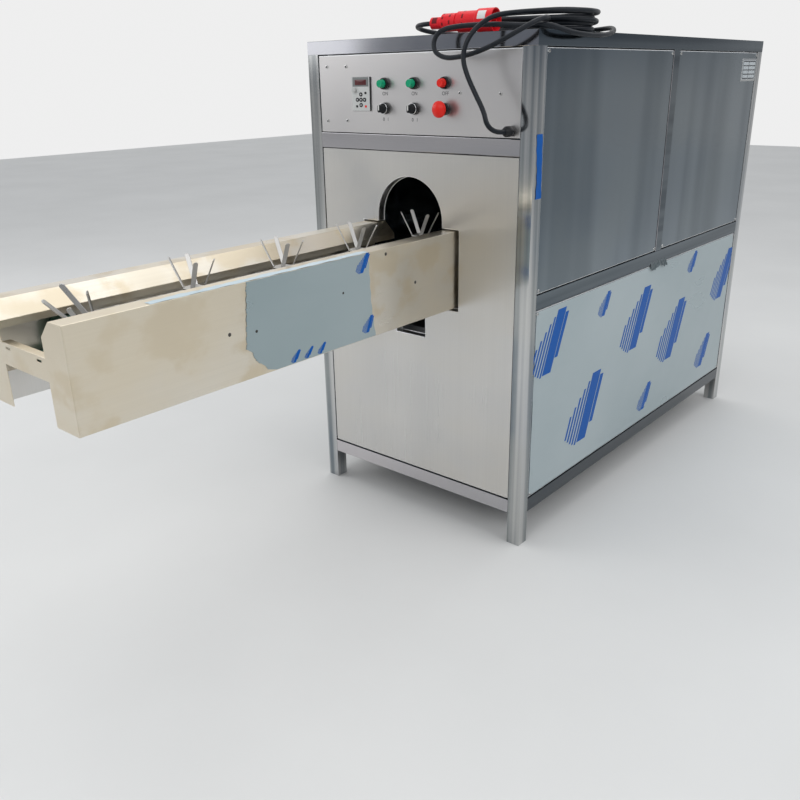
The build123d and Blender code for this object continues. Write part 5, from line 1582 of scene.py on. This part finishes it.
@dataclass(frozen=True)
class Studio:
    """A pale floor, a plain soft room, four lamps and the camera of the photograph's angle, in degrees.

    The room is a ramp of grey over the height of the direction, from straight down to straight up, and pale behind
    the machine.
    """

    focal_pixels: float = 821.30
    image_pixels: int = 800
    sensor_mm: float = 36.0
    sight: float = 60.0
    yaw: float = 40.85
    pitch: float = -21.40
    roll: float = -1.07
    place: Triple = (1.4424, -1.9278, 1.2388)
    room: tuple[tuple[float, Triple], ...] = (
        (0.0, (0.6, 0.6, 0.6)),
        (1.0, (0.66, 0.68, 0.7)),
        (0.49, (0.46, 0.46, 0.46)),
        (0.53, (0.2, 0.22, 0.25)),
        (0.6, (0.34, 0.36, 0.39)),
        (0.72, (0.6, 0.62, 0.65)),
    )
    room_behind: Triple = (0.86, 0.86, 0.86)
    behind: Triple = (-0.65, 0.76, 0.0)
    floor_half: float = 14.0
    floor_roughness: float = 0.7
    floor_tones: tuple[Triple, Triple] = ((0.66, 0.66, 0.65), (0.72, 0.72, 0.71))
    lamps: tuple[Lamp, ...] = (
        Lamp("front_lamp", (1.2, -4.2, 3.4), (4.4, 2.6), 60.0),
        Lamp("right_lamp", (4.2, 0.6, 3.2), (3.6, 2.6), 55.0),
        Lamp("left_lamp", (-4.0, -2.2, 2.6), (3.4, 2.6), 42.0),
        Lamp("top_lamp", (-0.4, 0.6, 4.4), (3.4, 4.0), 45.0),
    )

    def build(self) -> None:
        """Sets up the studio."""
        bpy.context.scene.view_settings.view_transform = "Standard"
        self.camera()
        self.world()
        self.floor()
        for lamp in self.lamps:
            self.light(lamp)

    def camera(self) -> None:
        """Stands the camera where the photograph was taken from."""
        yaw, pitch, roll = (math.radians(value) for value in (self.yaw, self.pitch, self.roll))
        ahead = Vector((-math.sin(yaw) * math.cos(pitch), math.cos(yaw) * math.cos(pitch), math.sin(pitch)))
        right = Vector((math.cos(yaw), math.sin(yaw), 0))
        up = right.cross(ahead)
        right, up = right * math.cos(roll) + up * math.sin(roll), up * math.cos(roll) - right * math.sin(roll)
        data = bpy.data.cameras.new("view")
        data.sensor_width = self.sensor_mm
        data.lens = self.focal_pixels / self.image_pixels * self.sensor_mm
        data.clip_end = self.sight
        camera = put_in_scene("view", data)
        turn = Matrix((right, up, -ahead)).transposed().to_4x4()
        camera.matrix_world = Matrix.Translation(self.place) @ turn
        bpy.context.scene.camera = camera

    def world(self) -> None:
        """Paints the room: grey round the viewer, darkest above the horizon, and pale behind the machine."""
        world = bpy.data.worlds.new("room")
        bpy.context.scene.world = world
        world.use_nodes = True
        nodes = Nodes(world.node_tree)
        way = nodes.node("ShaderNodeTexCoord", {}, {}).outputs["Generated"]
        up = nodes.node("ShaderNodeSeparateXYZ", {}, {0: way}).outputs["Z"]
        height = nodes.node("ShaderNodeMapRange", {}, {"Value": up, "From Min": -1.0}).outputs[0]
        grey = nodes.node("ShaderNodeValToRGB", {"stops": self.room}, {0: height}).outputs[0]
        dot = nodes.node("ShaderNodeVectorMath", {"operation": "DOT_PRODUCT"}, {0: way, 1: self.behind})
        pale = Signal(nodes, dot.outputs["Value"]).above(0.6, 0.3)
        colour = nodes.mixed(pale, grey, self.room_behind)
        background = nodes.node("ShaderNodeBackground", {}, {"Color": colour})
        nodes.node("ShaderNodeOutputWorld", {}, {"Surface": background.outputs[0]})

    def floor(self) -> None:
        """Lays a wide pale floor under the machine."""
        shader = Shader("floor")
        dust = shader.noise((1.2, 1.2, 1.2), detail=5.0)
        colour = shader.mixed(dust.above(0.5, 0.8), *self.floor_tones)
        finish = shader.finished({"Base Color": colour, "Roughness": self.floor_roughness})
        corners = np.array([(-1, -1, 0), (1, -1, 0), (1, 1, 0), (-1, 1, 0)]) * self.floor_half
        new_piece("floor", corners, [(0, 1, 2, 3)], finish, smooth=False)

    def light(self, lamp: Lamp) -> None:
        """Hangs one lamp and turns it to the machine.

        Args:
            lamp: the lamp.
        """
        data = bpy.data.lights.new(lamp.name, "AREA")
        data.shape = "RECTANGLE"
        data.size, data.size_y = lamp.size
        data.energy = lamp.power
        turn = (Vector(lamp.aim) - Vector(lamp.place)).to_track_quat("-Z", "Y").to_matrix().to_4x4()
        put_in_scene(lamp.name, data).matrix_world = Matrix.Translation(lamp.place) @ turn


def main() -> None:
    """Builds the machine's looks in order."""
    logging.basicConfig(level=logging.INFO, format="%(name)s: %(message)s")
    catalogue = Catalogue(frame["record"])
    finishes = Finishes()
    Studio().build()
    left_out = {"power_cord", "cord_coil", "plug_cord", "power_plug", *BUTTON_CAPS}
    MachineSkin(catalogue, finishes).dress_all(left_out)
    for assembly in (PowerCord, ScrewRecessShades, PanelFilm, CoverFilm, FilmRemnants, ControlPanel, RatingPlate):
        assembly(catalogue, finishes).build()


if __name__ == "__main__":
    main()
